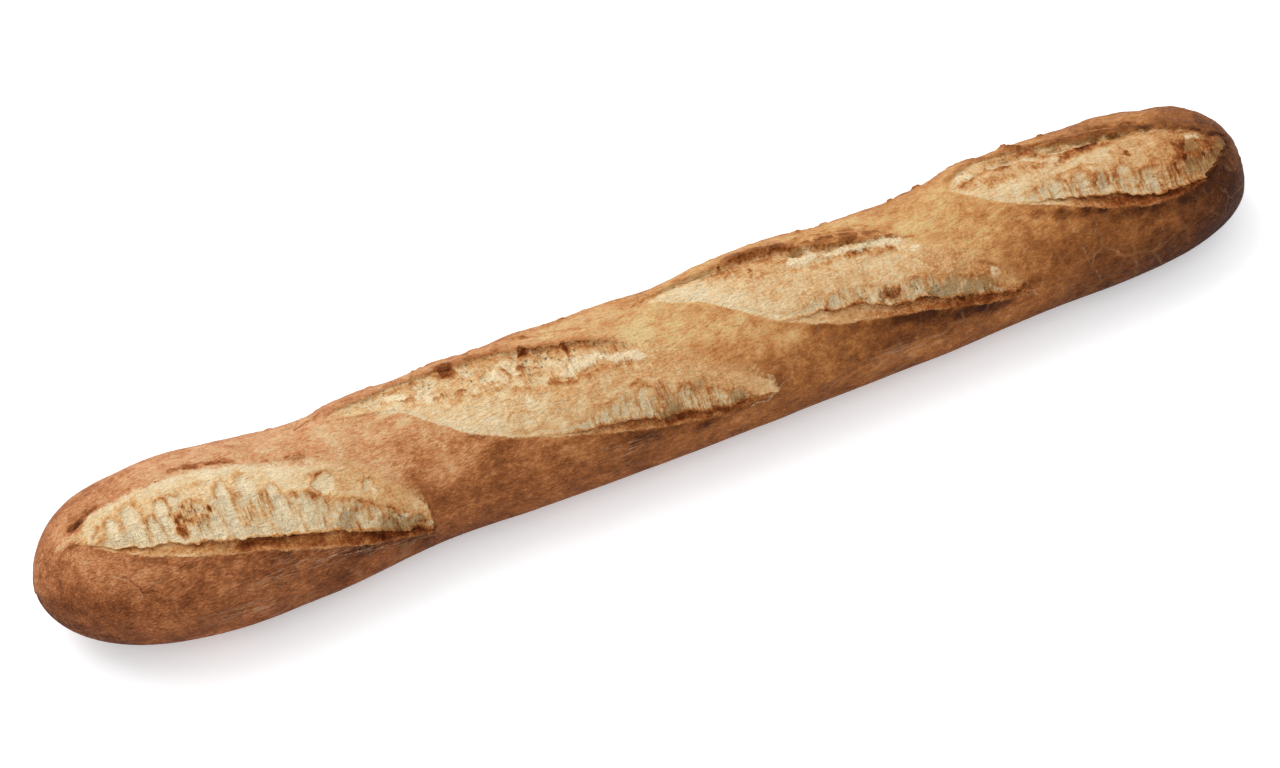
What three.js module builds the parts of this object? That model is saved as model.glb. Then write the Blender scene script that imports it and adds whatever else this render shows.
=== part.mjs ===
import * as THREE from 'three';

// Par-baked baguette, one uncut loaf. Millimetres, +Z up, resting on its flat underside at z = 0.
// The loaf lies along X. "s" is the distance from the left end, and "c" the distance round the loaf
// from the crown line, positive towards the near side (-Y).

const LENGTH = 520;
// Half width at eleven even stations from the left end to the right end.
const HALF_WIDTHS = [46.9, 39.6, 34.6, 33.8, 34.4, 34.1, 35.3, 33.3, 35.1, 34.6, 34.7];
// How far the middle of the loaf wanders sideways at the same stations.
const SWAY = [1.9, -0.8, -3.1, 0.4, -0.9, -1.7, -0.2, -1.4, 2.1, 1.5, 2.1];
const HEIGHT_TO_WIDTH = 0.76;
const WAIST = 0.42;              // height of the widest line, as a share of the loaf's height
const UPPER_FULLNESS = 0.95;     // exponents of the dome above the waist and the base below it
const LOWER_FULLNESS = 0.72;
const BASE_PRESS = 1.06;         // how far the rounded base is pressed past the tray, as a share
const LEFT_END = { taper: 87, fullness: 2.0 };
const RIGHT_END = { taper: 85, fullness: 2.87 };
const END_LIFT = 0.8;            // how far the tips rise off the tray, as a share of the waist height
const CROWN_RADIUS = 31;         // c = CROWN_RADIUS x angle from the crown

// The four slashes, left to right. Each list gives a line at seven even stations from start to end.
// lip: far edge of the opening; cut: near edge where the torn dough meets the browned side.
// gap and depth: width and depth of the tear under the far lip;
// torn: width of the torn zone over the near rim;
// band: width of the recessed strip between the near rim and the cut.
// lipEnd: share of the slash's length at which the far lip has closed.
const SLASHES = [
  {
    start: 12, end: 148, lipEnd: 0, ear: 0, plump: 0.6, sag: 1.5, drop: 2.0,
    lip: [-2.5, -8.5, -9.3, -8, -2.5, 8, 40],
    cut: [-1, 13, 20.5, 24.5, 32, 40, 48],
    depth: [0, 0, 0, 0, 0, 0, 0],
    gap: [1.0, 2.0, 1.6, 1.6, 1.6, 1.6, 1.0],
    torn: [1, 13, 18, 22, 16, 13, 5],
    band: [0.5, 2.5, 4.4, 4.8, 6.8, 5, 2],
  },
  {
    start: 112, end: 294, lipEnd: 0.76, ear: 0.7, plump: 1.0, sag: 1.0, drop: 1.8,
    lip: [-17, -19.5, -19, -12.5, -3.5, 14, 36],
    cut: [-15, -7, 14.5, 25.5, 33.5, 39.5, 41],
    depth: [0, 0.9, 1.2, 1.8, 1.6, 0, 0],
    gap: [1.0, 12, 19, 19, 10.5, 1.5, 1.0],
    torn: [0.5, 1, 2, 3, 11, 12, 4],
    band: [0.3, 0.3, 0.4, 1.2, 4.5, 3.5, 1],
  },
  {
    start: 250, end: 409, lipEnd: 0.76, ear: 0.9, plump: 1.2, sag: 0.9, drop: 1.9,
    lip: [-17, -19.5, -18, -9.5, -4.0, 11, 40],
    cut: [-15, -3.2, 15.5, 24, 28, 35.5, 43],
    depth: [0, 1.4, 3.0, 1.8, 1.0, 0, 0],
    gap: [1.0, 6.5, 9, 8, 4.5, 1.5, 1.0],
    torn: [0.5, 1, 3, 8, 10, 10, 4],
    band: [0.3, 0.3, 1.5, 5, 4.5, 4, 1],
  },
  {
    start: 386, end: 512, lipEnd: 0.98, ear: 0.8, plump: 0.9, sag: 1.4, drop: 2.0,
    lip: [-16, -21, -18.5, -13, -8.5, -3.0, 5],
    cut: [-11, 3.5, 12.5, 19.5, 24, 23.5, 8],
    depth: [0, 1.0, 1.4, 1.8, 1.5, 0.8, 0.3],
    gap: [1.0, 11, 11, 6.5, 3.5, 2, 0.5],
    torn: [0.5, 1, 8, 9, 12, 14, 1],
    band: [0.3, 0.4, 2.8, 5.2, 3.5, 2, 0.5],
  },
];
const LIP_SHOULDER = 9;          // width of crust beyond the far lip that rises with it
const CUT_SHOULDER = 6;          // width of crust beyond the cut that stands a little proud
const CUT_EDGE_RISE = 0.5;
const LIP_WALL = 1.0;            // width of the steep walls under the far lip and under the near rim
const RIM_WALL = 0.8;
const LIP_OVERHANG = 1.1;
const RIM_OVERHANG = 0.9;
const LIP_CLOSING = 0.12;        // share of the slash over which the far lip closes
const SOFT_EDGE = 9;             // width of the rise on to the torn dough where no lip stands
const FULL_GAP = 5;              // gap width at which the tear has its full depth
const RIM_RISE = 0.7;

// Open bubbles in the torn crumb: place, radius and depth.
const BUBBLES = [
  { s: 112, c: 9, radius: 5.0, depth: 0.9 },
  { s: 127, c: 16, radius: 3.4, depth: 0.7 },
  { s: 116, c: 25, radius: 5.5, depth: 0.8 },
  { s: 66, c: 11, radius: 4.4, depth: 0.8 },
  { s: 58, c: 1, radius: 4.0, depth: 0.8 },
  { s: 41, c: -1, radius: 4.4, depth: 1.2 },
  { s: 241, c: 20, radius: 5.0, depth: 1.1 },
  { s: 196, c: -7, radius: 5.0, depth: 0.9 },
  { s: 174, c: -15, radius: 5.0, depth: 1.2 },
  { s: 209, c: -5, radius: 5.5, depth: 0.8 },
  { s: 417, c: -13, radius: 4.6, depth: 0.8 },
  { s: 428, c: 4, radius: 4.4, depth: 1.2 },
  { s: 440, c: 6, radius: 4.0, depth: 1.3 },
  { s: 449, c: 9, radius: 3.6, depth: 1.2 },
  { s: 459, c: 9, radius: 4.2, depth: 1.3 },
  { s: 469, c: 13, radius: 4.6, depth: 1.4 },
];

// Facets: rows along the loaf and columns round it, fine over the slashed top, coarse underneath.
const END_ROWS = 5;
const END_ROW_REACH = 14;
const MIDDLE_ROWS = 122;
const TOP_FROM = -34;
const TOP_TO = 56;
const TOP_COLUMNS = 38;
const BASE_COLUMNS = 11;

const clamp01 = (t) => Math.min(1, Math.max(0, t));
const smooth = (t) => { const u = clamp01(t); return u * u * (3 - 2 * u); };

// Smooth curve through evenly spaced values that never overshoots them; t runs 0 to 1.
function along(values, t) {
  const last = values.length - 1;
  const place = clamp01(t) * last;
  const i = Math.min(last - 1, Math.floor(place));
  const u = place - i;
  const step = (k) => values[k + 1] - values[k];
  const slope = (k) => {
    if (k === 0) return step(0);
    if (k === last) return step(last - 1);
    const a = step(k - 1);
    const b = step(k);
    return a * b > 0 ? (2 * a * b) / (a + b) : 0;
  };
  const u2 = u * u;
  const u3 = u2 * u;
  return values[i] * (2 * u3 - 3 * u2 + 1) + slope(i) * (u3 - 2 * u2 + u)
    + values[i + 1] * (3 * u2 - 2 * u3) + slope(i + 1) * (u3 - u2);
}

// How full the loaf is at s, from 0 at a tip to 1 along the middle.
function fullness(s) {
  const end = (reach, { taper, fullness: power }) => (
    (1 - (1 - clamp01(reach / taper)) ** power) ** (1 / power));
  return end(s, LEFT_END) * end(LENGTH - s, RIGHT_END);
}

// Point on the plain loaf, before any slash.
function loafPoint(s, c) {
  const wide = along(HALF_WIDTHS, s / LENGTH);
  const full = fullness(s);
  const half = wide * full;
  const height = 2 * HEIGHT_TO_WIDTH * half;
  const waist = WAIST * height;
  const angle = c / CROWN_RADIUS;
  const up = Math.cos(angle);
  const out = Math.sin(angle);
  const bend = up >= 0 ? UPPER_FULLNESS : LOWER_FULLNESS;
  const y = -half * Math.sign(out) * Math.abs(out) ** bend;
  const z = up >= 0
    ? waist + (height - waist) * up ** bend
    : Math.max(0, waist - BASE_PRESS * waist * Math.abs(up) ** bend);
  const lift = END_LIFT * WAIST * 2 * HEIGHT_TO_WIDTH * wide * (1 - full);
  return new THREE.Vector3(s, y + along(SWAY, s / LENGTH), z + lift);
}

// Outward direction and the direction of growing c at a point of the plain loaf.
function loafFrame(s, c) {
  const ds = Math.min(0.5, s / 2, (LENGTH - s) / 2);
  const dc = 0.5;
  const lengthways = loafPoint(s + ds, c).sub(loafPoint(s - ds, c)).normalize();
  const round = loafPoint(s, c + dc).sub(loafPoint(s, c - dc)).normalize();
  const outward = new THREE.Vector3().crossVectors(round, lengthways).normalize();
  return { outward, round };
}

// Gentle hand-made unevenness, in millimetres.
function unevenness(s, c) {
  return 0.35 * Math.sin(s / 11.3 + 0.7) * Math.cos(c / 13 + s / 37)
    + 0.25 * Math.sin(s / 5.9 + c / 9.1 + 1.3);
}

function ragged(s, seed) {
  return 0.7 * Math.sin(s / 2.9 + seed) + 0.5 * Math.sin(s / 1.7 + 2.3 * seed);
}

// Lines across one slash at s, far to near: place, height over the plain loaf, sideways lean.
function slashLines(slash, s) {
  const t = (s - slash.start) / (slash.end - slash.start);
  if (t <= 0 || t >= 1) return [];
  const strength = smooth(t / 0.12) * smooth((1 - t) / 0.1);
  const gap = along(slash.gap, t);
  const torn = along(slash.torn, t);
  const band = along(slash.band, t);
  const depth = along(slash.depth, t);
  const lip = along(slash.lip, t) + 0.8 * strength * ragged(s, slash.ear);
  const cut = Math.max(lip + 2, along(slash.cut, t));
  const rim = Math.max(lip + 1.5, cut - band + 0.6 * strength * ragged(s, slash.sag));
  const lifted = strength * smooth((slash.lipEnd - t) / LIP_CLOSING);
  const tear = lifted * smooth(gap / FULL_GAP);
  const recess = strength * smooth(band / 3);
  const fibre = Math.sin(s / 1.15) * 0.3;
  const inner = Math.min(lip + gap + SOFT_EDGE * (1 - lifted), rim - 1);
  const tornFrom = Math.max(inner + 1, rim - torn);
  const at = (c, out, lean = 0, name = '') => ({ c, out, lean, name });
  const lines = [
    at(lip - LIP_SHOULDER, 0),
    at(lip - LIP_SHOULDER * 0.4, 0.55 * slash.ear * lifted),
    at(lip, slash.ear * lifted, LIP_OVERHANG * tear, lifted > 0.1 ? 'lip' : ''),
    at(lip + LIP_WALL, -depth * tear, -0.5 * tear, lifted > 0.1 ? 'floor' : ''),
    at(lip + 0.5 * gap, (-0.7 * depth + fibre) * tear),
    at(inner, (slash.plump + 0.3) * strength, 0, tear > 0.1 ? 'inner' : ''),
    at((inner + tornFrom) / 2, slash.plump * strength),
    at(tornFrom, 0.7 * slash.plump * strength, 0, 'torn'),
    at((tornFrom + rim) / 2, (-slash.sag + fibre) * strength * smooth(torn / 6)),
    at(rim, RIM_RISE * strength, RIM_OVERHANG * recess, 'rim'),
    at(rim + RIM_WALL, -slash.drop * recess, -0.3 * recess, 'recess'),
    at(cut, CUT_EDGE_RISE * strength, 0, 'cut'),
    at(cut + CUT_SHOULDER, 0),
  ];
  for (let i = 1; i < lines.length; i += 1) {
    lines[i].c = Math.max(lines[i].c, lines[i - 1].c + 0.05);
  }
  return lines;
}

// Height and lean that one slash gives at c.
function slashRelief(lines, c) {
  if (!lines.length || c <= lines[0].c || c >= lines[lines.length - 1].c) return { out: 0, lean: 0 };
  const i = lines.findIndex((line) => line.c >= c);
  const a = lines[i - 1];
  const b = lines[i];
  const u = (c - a.c) / (b.c - a.c);
  return { out: a.out + (b.out - a.out) * u, lean: a.lean + (b.lean - a.lean) * u };
}

function bubbles(s, c) {
  return BUBBLES.reduce((sum, { s: bs, c: bc, radius, depth }) => (
    sum - depth * smooth(1.4 * (1 - Math.hypot(s - bs, c - bc) / radius))), 0);
}

// Finished surface point: plain loaf, unevenness, bubbles and every slash that passes here.
function surfacePoint(s, c, slashes) {
  const point = loafPoint(s, c);
  const { outward, round } = loafFrame(s, c);
  let out = unevenness(s, c) + bubbles(s, c);
  let lean = 0;
  for (const lines of slashes) {
    const relief = slashRelief(lines, c);
    out += relief.out;
    lean += relief.lean;
  }
  return point.addScaledVector(outward, out).addScaledVector(round, lean);
}

// Column places over the top at s: evenly spread, but always on the lips, rims and floors.
function topColumns(slashes) {
  const step = (TOP_TO - TOP_FROM) / TOP_COLUMNS;
  const names = new Array(TOP_COLUMNS + 1).fill('');
  const places = names.map(() => NaN);
  places[0] = TOP_FROM;
  places[TOP_COLUMNS] = TOP_TO;
  let taken = 0;
  const marks = slashes.flat().filter(({ name }) => name).sort((a, b) => a.c - b.c);
  for (const { c, name } of marks) {
    const column = Math.max(taken + 1, Math.round((c - TOP_FROM) / step));
    const slip = TOP_FROM + column * step - c;
    if (column < TOP_COLUMNS && Math.abs(slip) < 1.6 * step) {
      places[column] = c;
      names[column] = name;
      taken = column;
    }
  }
  let from = 0;
  for (let i = 1; i <= TOP_COLUMNS; i += 1) {
    if (!Number.isNaN(places[i])) {
      for (let k = from + 1; k < i; k += 1) {
        places[k] = places[from] + (places[i] - places[from]) * ((k - from) / (i - from));
      }
      from = i;
    }
  }
  return { places, names };
}

function rowPlaces() {
  const rows = [];
  for (let i = 1; i <= END_ROWS; i += 1) rows.push(END_ROW_REACH * (i / (END_ROWS + 1)) ** 1.7);
  const span = LENGTH - 2 * END_ROW_REACH;
  for (let i = 0; i <= MIDDLE_ROWS; i += 1) rows.push(END_ROW_REACH + span * (i / MIDDLE_ROWS));
  for (let i = END_ROWS; i >= 1; i -= 1) rows.push(LENGTH - END_ROW_REACH * (i / (END_ROWS + 1)) ** 1.7);
  return rows;
}

function loafGeometry() {
  const positions = [];
  const triangles = [];
  const add = (point) => {
    positions.push(point.x, point.y, point.z);
    return positions.length / 3 - 1;
  };
  const pointAt = (index) => new THREE.Vector3().fromArray(positions, 3 * index);
  const triangle = (a, b, c) => triangles.push(a, b, c);

  const baseStep = (2 * Math.PI * CROWN_RADIUS - (TOP_TO - TOP_FROM)) / BASE_COLUMNS;
  const rows = rowPlaces().map((s, index) => {
    const slashes = SLASHES.map((slash) => slashLines(slash, s)).filter((lines) => lines.length);
    const { places, names } = topColumns(slashes);
    const top = places.map((c) => add(surfacePoint(s, c, slashes)));
    const base = [];
    if (index % 2 === 0) {
      for (let k = 1; k < BASE_COLUMNS; k += 1) {
        base.push(add(loafPoint(s, TOP_TO + k * baseStep)));
      }
    }
    return { top, base: base.length ? [top[TOP_COLUMNS], ...base, top[0]] : null, names };
  });

  // Fine top: the facets' diagonals follow the lips and rims from row to row.
  for (let r = 0; r + 1 < rows.length; r += 1) {
    const here = rows[r];
    const next = rows[r + 1];
    for (let k = 0; k < TOP_COLUMNS; k += 1) {
      const a = here.top[k];
      const b = here.top[k + 1];
      const c = next.top[k + 1];
      const d = next.top[k];
      const rising = here.names[k] && here.names[k] === next.names[k + 1];
      const falling = here.names[k + 1] && here.names[k + 1] === next.names[k];
      const shorter = pointAt(a).distanceTo(pointAt(c)) <= pointAt(b).distanceTo(pointAt(d));
      if (rising || (!falling && shorter)) {
        triangle(a, b, c);
        triangle(a, c, d);
      } else {
        triangle(a, b, d);
        triangle(b, c, d);
      }
    }
  }

  // Coarse underside: one facet row for two rows of the top.
  for (let r = 0; r + 2 < rows.length; r += 2) {
    const here = rows[r];
    const next = rows[r + 2];
    const between = rows[r + 1];
    for (let k = 0; k < BASE_COLUMNS; k += 1) {
      const a = here.base[k];
      const b = here.base[k + 1];
      const c = next.base[k + 1];
      const d = next.base[k];
      if (k === 0) {
        const edge = between.top[TOP_COLUMNS];
        triangle(a, b, edge);
        triangle(b, c, edge);
        triangle(c, d, edge);
      } else if (k === BASE_COLUMNS - 1) {
        const edge = between.top[0];
        triangle(a, b, edge);
        triangle(a, edge, d);
        triangle(edge, c, d);
      } else {
        triangle(a, b, c);
        triangle(a, c, d);
      }
    }
  }

  // Rounded tips, closed on one point each.
  const closeTip = (row, s, atLeft) => {
    const tip = add(loafPoint(s, 0));
    const ring = [...row.top, ...row.base.slice(1, -1)];
    ring.forEach((vertex, i) => {
      const following = ring[(i + 1) % ring.length];
      if (atLeft) triangle(following, vertex, tip);
      else triangle(vertex, following, tip);
    });
  };
  closeTip(rows[0], 0, true);
  closeTip(rows[rows.length - 1], LENGTH, false);

  const geometry = new THREE.BufferGeometry();
  geometry.setAttribute('position', new THREE.Float32BufferAttribute(positions, 3));
  geometry.setIndex(triangles);
  geometry.computeBoundingBox();
  const { min, max } = geometry.boundingBox;
  geometry.translate(-(min.x + max.x) / 2, -(min.y + max.y) / 2, -min.z);
  geometry.computeVertexNormals();
  return geometry;
}

const crust = new THREE.MeshStandardMaterial({ name: 'crust', color: 0xb9773f, roughness: 0.8 });
const loaf = new THREE.Mesh(loafGeometry(), crust);
loaf.name = 'loaf';

const baguette = new THREE.Group();
baguette.name = 'baguette';
baguette.add(loaf);

export default baguette;
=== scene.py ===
import math

import bpy
import numpy as np
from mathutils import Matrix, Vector


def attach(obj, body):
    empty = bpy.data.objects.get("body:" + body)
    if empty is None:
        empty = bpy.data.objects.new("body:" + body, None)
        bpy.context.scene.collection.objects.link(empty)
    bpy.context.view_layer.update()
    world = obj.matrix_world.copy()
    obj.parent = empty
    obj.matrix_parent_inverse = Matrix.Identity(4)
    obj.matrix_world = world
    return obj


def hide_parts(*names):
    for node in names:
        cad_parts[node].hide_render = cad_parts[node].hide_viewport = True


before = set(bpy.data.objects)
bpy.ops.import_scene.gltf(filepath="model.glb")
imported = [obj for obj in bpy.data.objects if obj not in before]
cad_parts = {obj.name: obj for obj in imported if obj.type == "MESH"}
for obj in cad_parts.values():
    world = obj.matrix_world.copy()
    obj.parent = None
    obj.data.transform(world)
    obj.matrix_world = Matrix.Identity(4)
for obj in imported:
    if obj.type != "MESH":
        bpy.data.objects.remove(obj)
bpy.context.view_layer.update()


# The camera
# A short telephoto lens 1.3 m from the loaf, looking down on it from the near left, so that the loaf
# rises from lower left to upper right across the picture.
VIEW_AZIMUTH = math.radians(-24.5)
VIEW_ELEVATION = math.radians(55.0)
VIEW_DISTANCE = 1.300
LOOKED_AT = Vector((-0.01317, -0.00384, 0.0250))
LENS_MM = 92.98

towards_camera = Vector((
    math.sin(VIEW_AZIMUTH) * math.cos(VIEW_ELEVATION),
    -math.cos(VIEW_AZIMUTH) * math.cos(VIEW_ELEVATION),
    math.sin(VIEW_ELEVATION),
))
camera = bpy.data.objects.new("camera", bpy.data.cameras.new("camera"))
camera.location = LOOKED_AT + VIEW_DISTANCE * towards_camera
camera.rotation_euler = towards_camera.to_track_quat("Z", "Y").to_euler()
camera.data.lens = LENS_MM
camera.data.sensor_width = 36.0
camera.data.clip_start = 0.05
camera.data.clip_end = 20.0
bpy.context.collection.objects.link(camera)
bpy.context.scene.camera = camera


# The loaf's plain form
# A hand-shaped roll of dough, thicker at its left end, that flattened a little on the baking tray and
# rounded off at both tips. Places on it are given in millimetres: s along it from the left tip, and
# c round it from the crown line, positive towards the near side.
MM = 0.001
LENGTH = 520.0
HALF_WIDTHS = [46.9, 39.6, 34.6, 33.8, 34.4, 34.1, 35.3, 33.3, 35.1, 34.6, 34.7]
SWAY = [1.9, -0.8, -3.1, 0.4, -0.9, -1.7, -0.2, -1.4, 2.1, 1.5, 2.1]
ROW_MIDDLE = 1.10
HEIGHT_TO_WIDTH = 0.76
WAIST = 0.42  # height of the widest line, as a share of the loaf's height
UPPER_FULLNESS = 0.95
LOWER_FULLNESS = 0.72
BASE_PRESS = 1.06
LEFT_TAPER, LEFT_ROUNDNESS = 87.0, 2.0
RIGHT_TAPER, RIGHT_ROUNDNESS = 85.0, 2.87
END_LIFT = 0.8
CROWN_RADIUS = 31.0


def smooth(t):
    """Eases from 0 to 1 as t goes from 0 to 1."""
    t = np.clip(t, 0, 1)
    return t * t * (3 - 2 * t)


def along(values, t):
    """Smooth curve through evenly spaced values that never overshoots them; t runs 0 to 1."""
    values = np.asarray(values, float)
    last = len(values) - 1
    step = np.diff(values)
    before, after = step[:-1], step[1:]
    agree = before * after > 0
    slope = np.zeros(last + 1)
    slope[0], slope[-1] = step[0], step[-1]
    slope[1:-1][agree] = 2 * before[agree] * after[agree] / (before + after)[agree]
    place = np.clip(t, 0, 1) * last
    i = np.minimum(place.astype(int), last - 1)
    u = place - i
    return (values[i] * (2 * u**3 - 3 * u**2 + 1) + slope[i] * (u**3 - 2 * u**2 + u)
            + values[i + 1] * (3 * u**2 - 2 * u**3) + slope[i + 1] * (u**3 - u**2))


def fullness(s):
    """How full the loaf is at s, from 0 at a tip to 1 along the middle."""
    left = np.clip(s / LEFT_TAPER, 0, 1)
    right = np.clip((LENGTH - s) / RIGHT_TAPER, 0, 1)
    left = (1 - (1 - left) ** LEFT_ROUNDNESS) ** (1 / LEFT_ROUNDNESS)
    right = (1 - (1 - right) ** RIGHT_ROUNDNESS) ** (1 / RIGHT_ROUNDNESS)
    return left * right


def plain_loaf(s, c):
    """Points of the loaf before it was slashed, in millimetres."""
    wide = along(HALF_WIDTHS, s / LENGTH)
    full = fullness(s)
    half = wide * full
    height = 2 * HEIGHT_TO_WIDTH * half
    waist = WAIST * height
    up, out = np.cos(c / CROWN_RADIUS), np.sin(c / CROWN_RADIUS)
    upper = up >= 0
    y = -half * np.sign(out) * np.abs(out) ** np.where(upper, UPPER_FULLNESS, LOWER_FULLNESS)
    dome = waist + (height - waist) * np.abs(up) ** UPPER_FULLNESS
    base = np.maximum(0, waist - BASE_PRESS * waist * np.abs(up) ** LOWER_FULLNESS)
    lift = END_LIFT * WAIST * 2 * HEIGHT_TO_WIDTH * wide * (1 - full)
    return np.stack([s - LENGTH / 2 + 0 * c, y + along(SWAY, s / LENGTH) + ROW_MIDDLE,
                     np.where(upper, dome, base) + lift], -1)


def unit(v):
    return v / np.maximum(np.linalg.norm(v, axis=-1, keepdims=True), 1e-12)


def loaf_directions(s, c):
    """Outward direction, and the direction of growing c, at points of the plain loaf."""
    ds = np.minimum(0.5, np.minimum(s, LENGTH - s) / 2)
    lengthways = unit(plain_loaf(s + ds, c) - plain_loaf(s - ds, c))
    round_it = unit(plain_loaf(s, c + 0.5) - plain_loaf(s, c - 0.5))
    return unit(np.cross(round_it, lengthways)), round_it


# The four slashes
# Cut with a blade before baking, each running diagonally over the crown. In the oven the dough swelled
# and tore open along them: a browned flap of crust stands up at the far lip over a tear full of
# foam, pale dough bulges in the middle, and at the near side its torn fibres end in a ragged rim over
# a strip of newer crust. Each list holds a line's values at seven even stations along its slash.
# Under each far lip the tear is browned, partly by charred fibres and partly with painted shade.
SLASHES = [
    dict(
        start=12, end=150, lip_end=0.0, ear=0.0, plump=0.6, sag=1.5, fade=0.55, toasted=0.28, crumb=0.66,
        lip=[-2.5, -8.5, -9.3, -8.0, -2.5, 8, 32],
        cut=[-1, 13, 20.5, 24.5, 32, 40, 48],
        depth=[0, 0, 0, 0, 0, 0, 0],
        gap=[1.0, 2.0, 1.6, 1.6, 1.6, 1.6, 1.0],
        fringe=[1, 1, 1, 1, 1, 1, 1],
        char=[0, 0, 0, 0, 0, 0, 0],
        torn=[1, 13, 18, 22, 16, 13, 5],
        band=[0.5, 2.5, 4.4, 4.8, 6.8, 5, 2],
        tone=[0.30, 0.14, 0.12, 0.12, 0.17, 0.29, 0.38],
        burnt=[0.45, 0.50, 0.54, 0.70, 0.74, 0.92, 0.98],
        drop=[0.2, 0.4, 0.6, 2.0, 2.4, 2.2, 1.0],
        greyed=[0, 0, 0, 0, 0.12, 0.50, 0.7],
        # Arched hollows: place of the crown along and round the loaf, half-width, depth.
        hollows=[
            (33.2, -2.0, 2.7, 1.2), (40.5, -4.2, 3.9, 1.3), (47.2, 3.0, 2.0, 1.0), (51.8, -1.5, 2.4, 0.9),
            (75.5, -0.6, 2.7, 0.8), (84.5, -2.0, 3.8, 0.7), (93.5, 3.0, 2.4, 0.9), (103.0, 9.5, 3.0, 0.7),
        ],
    ),
    dict(
        start=112, end=297, lip_end=0.76, ear=0.7, plump=1.0, sag=1.0, fade=0.60, toasted=0.07, crumb=0.20,
        lip=[-17, -19.5, -19, -12.5, -3.5, 14, 36],
        cut=[-15, -7, 14.5, 25.5, 33.5, 39.5, 41],
        depth=[0, 0.9, 1.2, 1.8, 1.6, 0, 0],
        gap=[1.0, 12, 19, 19, 10.5, 1.5, 1.0],
        fringe=[1, 4, 4.5, 4, 3.5, 1, 1],
        char=[0.1, 0.18, 0.18, 0.24, 0.26, 0, 0],
        torn=[0.5, 1, 2, 3, 11, 12, 4],
        band=[0.3, 0.3, 0.4, 1.2, 4.5, 3.5, 1],
        tone=[0.35, 0.20, 0.22, 0.28, 0.36, 0.44, 0.28],
        burnt=[0.40, 0.40, 0.40, 0.52, 0.70, 0.80, 0.80],
        drop=[0, 0, 0, 0.8, 1.8, 2.0, 1.0],
        greyed=[0, 0, 0, 0.35, 0.75, 0.7, 0.4],
        hollows=[(240.8, 17.2, 4.0, 1.1), (256.0, 22.0, 3.2, 0.5)],
    ),
    dict(
        start=250, end=409, lip_end=0.76, ear=0.9, plump=1.2, sag=0.9, fade=0.62, toasted=0.07, crumb=0.20,
        lip=[-17, -19.5, -18, -9.5, -4.0, 11, 40],
        cut=[-15, -3.2, 15.5, 24, 28, 35.5, 43],
        depth=[0, 1.4, 3.0, 1.8, 1.0, 0, 0],
        gap=[1.0, 6.5, 9, 8, 4.5, 1.5, 1.0],
        fringe=[1, 6, 9, 3, 1.5, 1, 1],
        char=[0.1, 0.14, 0.20, 0.32, 0.22, 0, 0],
        torn=[0.5, 1, 3, 8, 10, 10, 4],
        band=[0.3, 0.3, 1.0, 6.2, 4.8, 4, 1],
        tone=[0.30, 0.16, 0.28, 0.31, 0.29, 0.40, 0.52],
        burnt=[0.36, 0.36, 0.38, 0.46, 0.68, 0.84, 0.84],
        drop=[0, 0, 0, 0.9, 1.9, 2.2, 1.2],
        greyed=[0, 0, 0.2, 0.4, 0.7, 0.8, 0.6],
        hollows=[(324.5, 11.5, 2.3, 1.0), (360.0, 15.0, 3.0, 0.4), (377.0, 21.0, 2.8, 0.4)],
    ),
    dict(
        start=386, end=512, lip_end=0.98, ear=0.8, plump=0.9, sag=1.4, fade=2.0, toasted=0.16, crumb=0.12,
        lip=[-16, -21, -18.5, -13, -8.5, -3.0, 5],
        cut=[-11, 3.5, 12.5, 19.5, 24, 23.5, 8],
        depth=[0, 1.0, 1.4, 1.8, 1.5, 0.8, 0.3],
        gap=[1.0, 11, 11, 6.5, 3.5, 2, 0.5],
        fringe=[1, 2.5, 6, 4, 3, 2, 0.5],
        char=[0.1, 0.14, 0.24, 0.20, 0.18, 0.2, 0.2],
        torn=[0.5, 1, 8, 9, 12, 14, 1],
        band=[0.3, 0.4, 2.8, 5.2, 3.5, 2, 0.5],
        tone=[0.30, 0.24, 0.28, 0.28, 0.34, 0.46, 0.62],
        burnt=[0.30, 0.26, 0.38, 0.80, 0.84, 0.80, 0.70],
        drop=[0, 0, 0.6, 2.0, 2.2, 1.8, 0.8],
        greyed=[0, 0, 0.2, 0.35, 0.3, 0.6, 0.5],
        hollows=[(428.5, 1.2, 4.6, 1.4), (440.5, 2.8, 3.5, 1.5), (448.8, 6.3, 2.8, 1.3),
                 (459.0, 4.5, 4.0, 1.4), (469.0, 9.5, 4.2, 1.6)],
    ),
]
LIP_SHOULDER = 9.0
CUT_SHOULDER = 6.0
SOFT_EDGE = 9.0
LIP_CLOSING = 0.12

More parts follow.
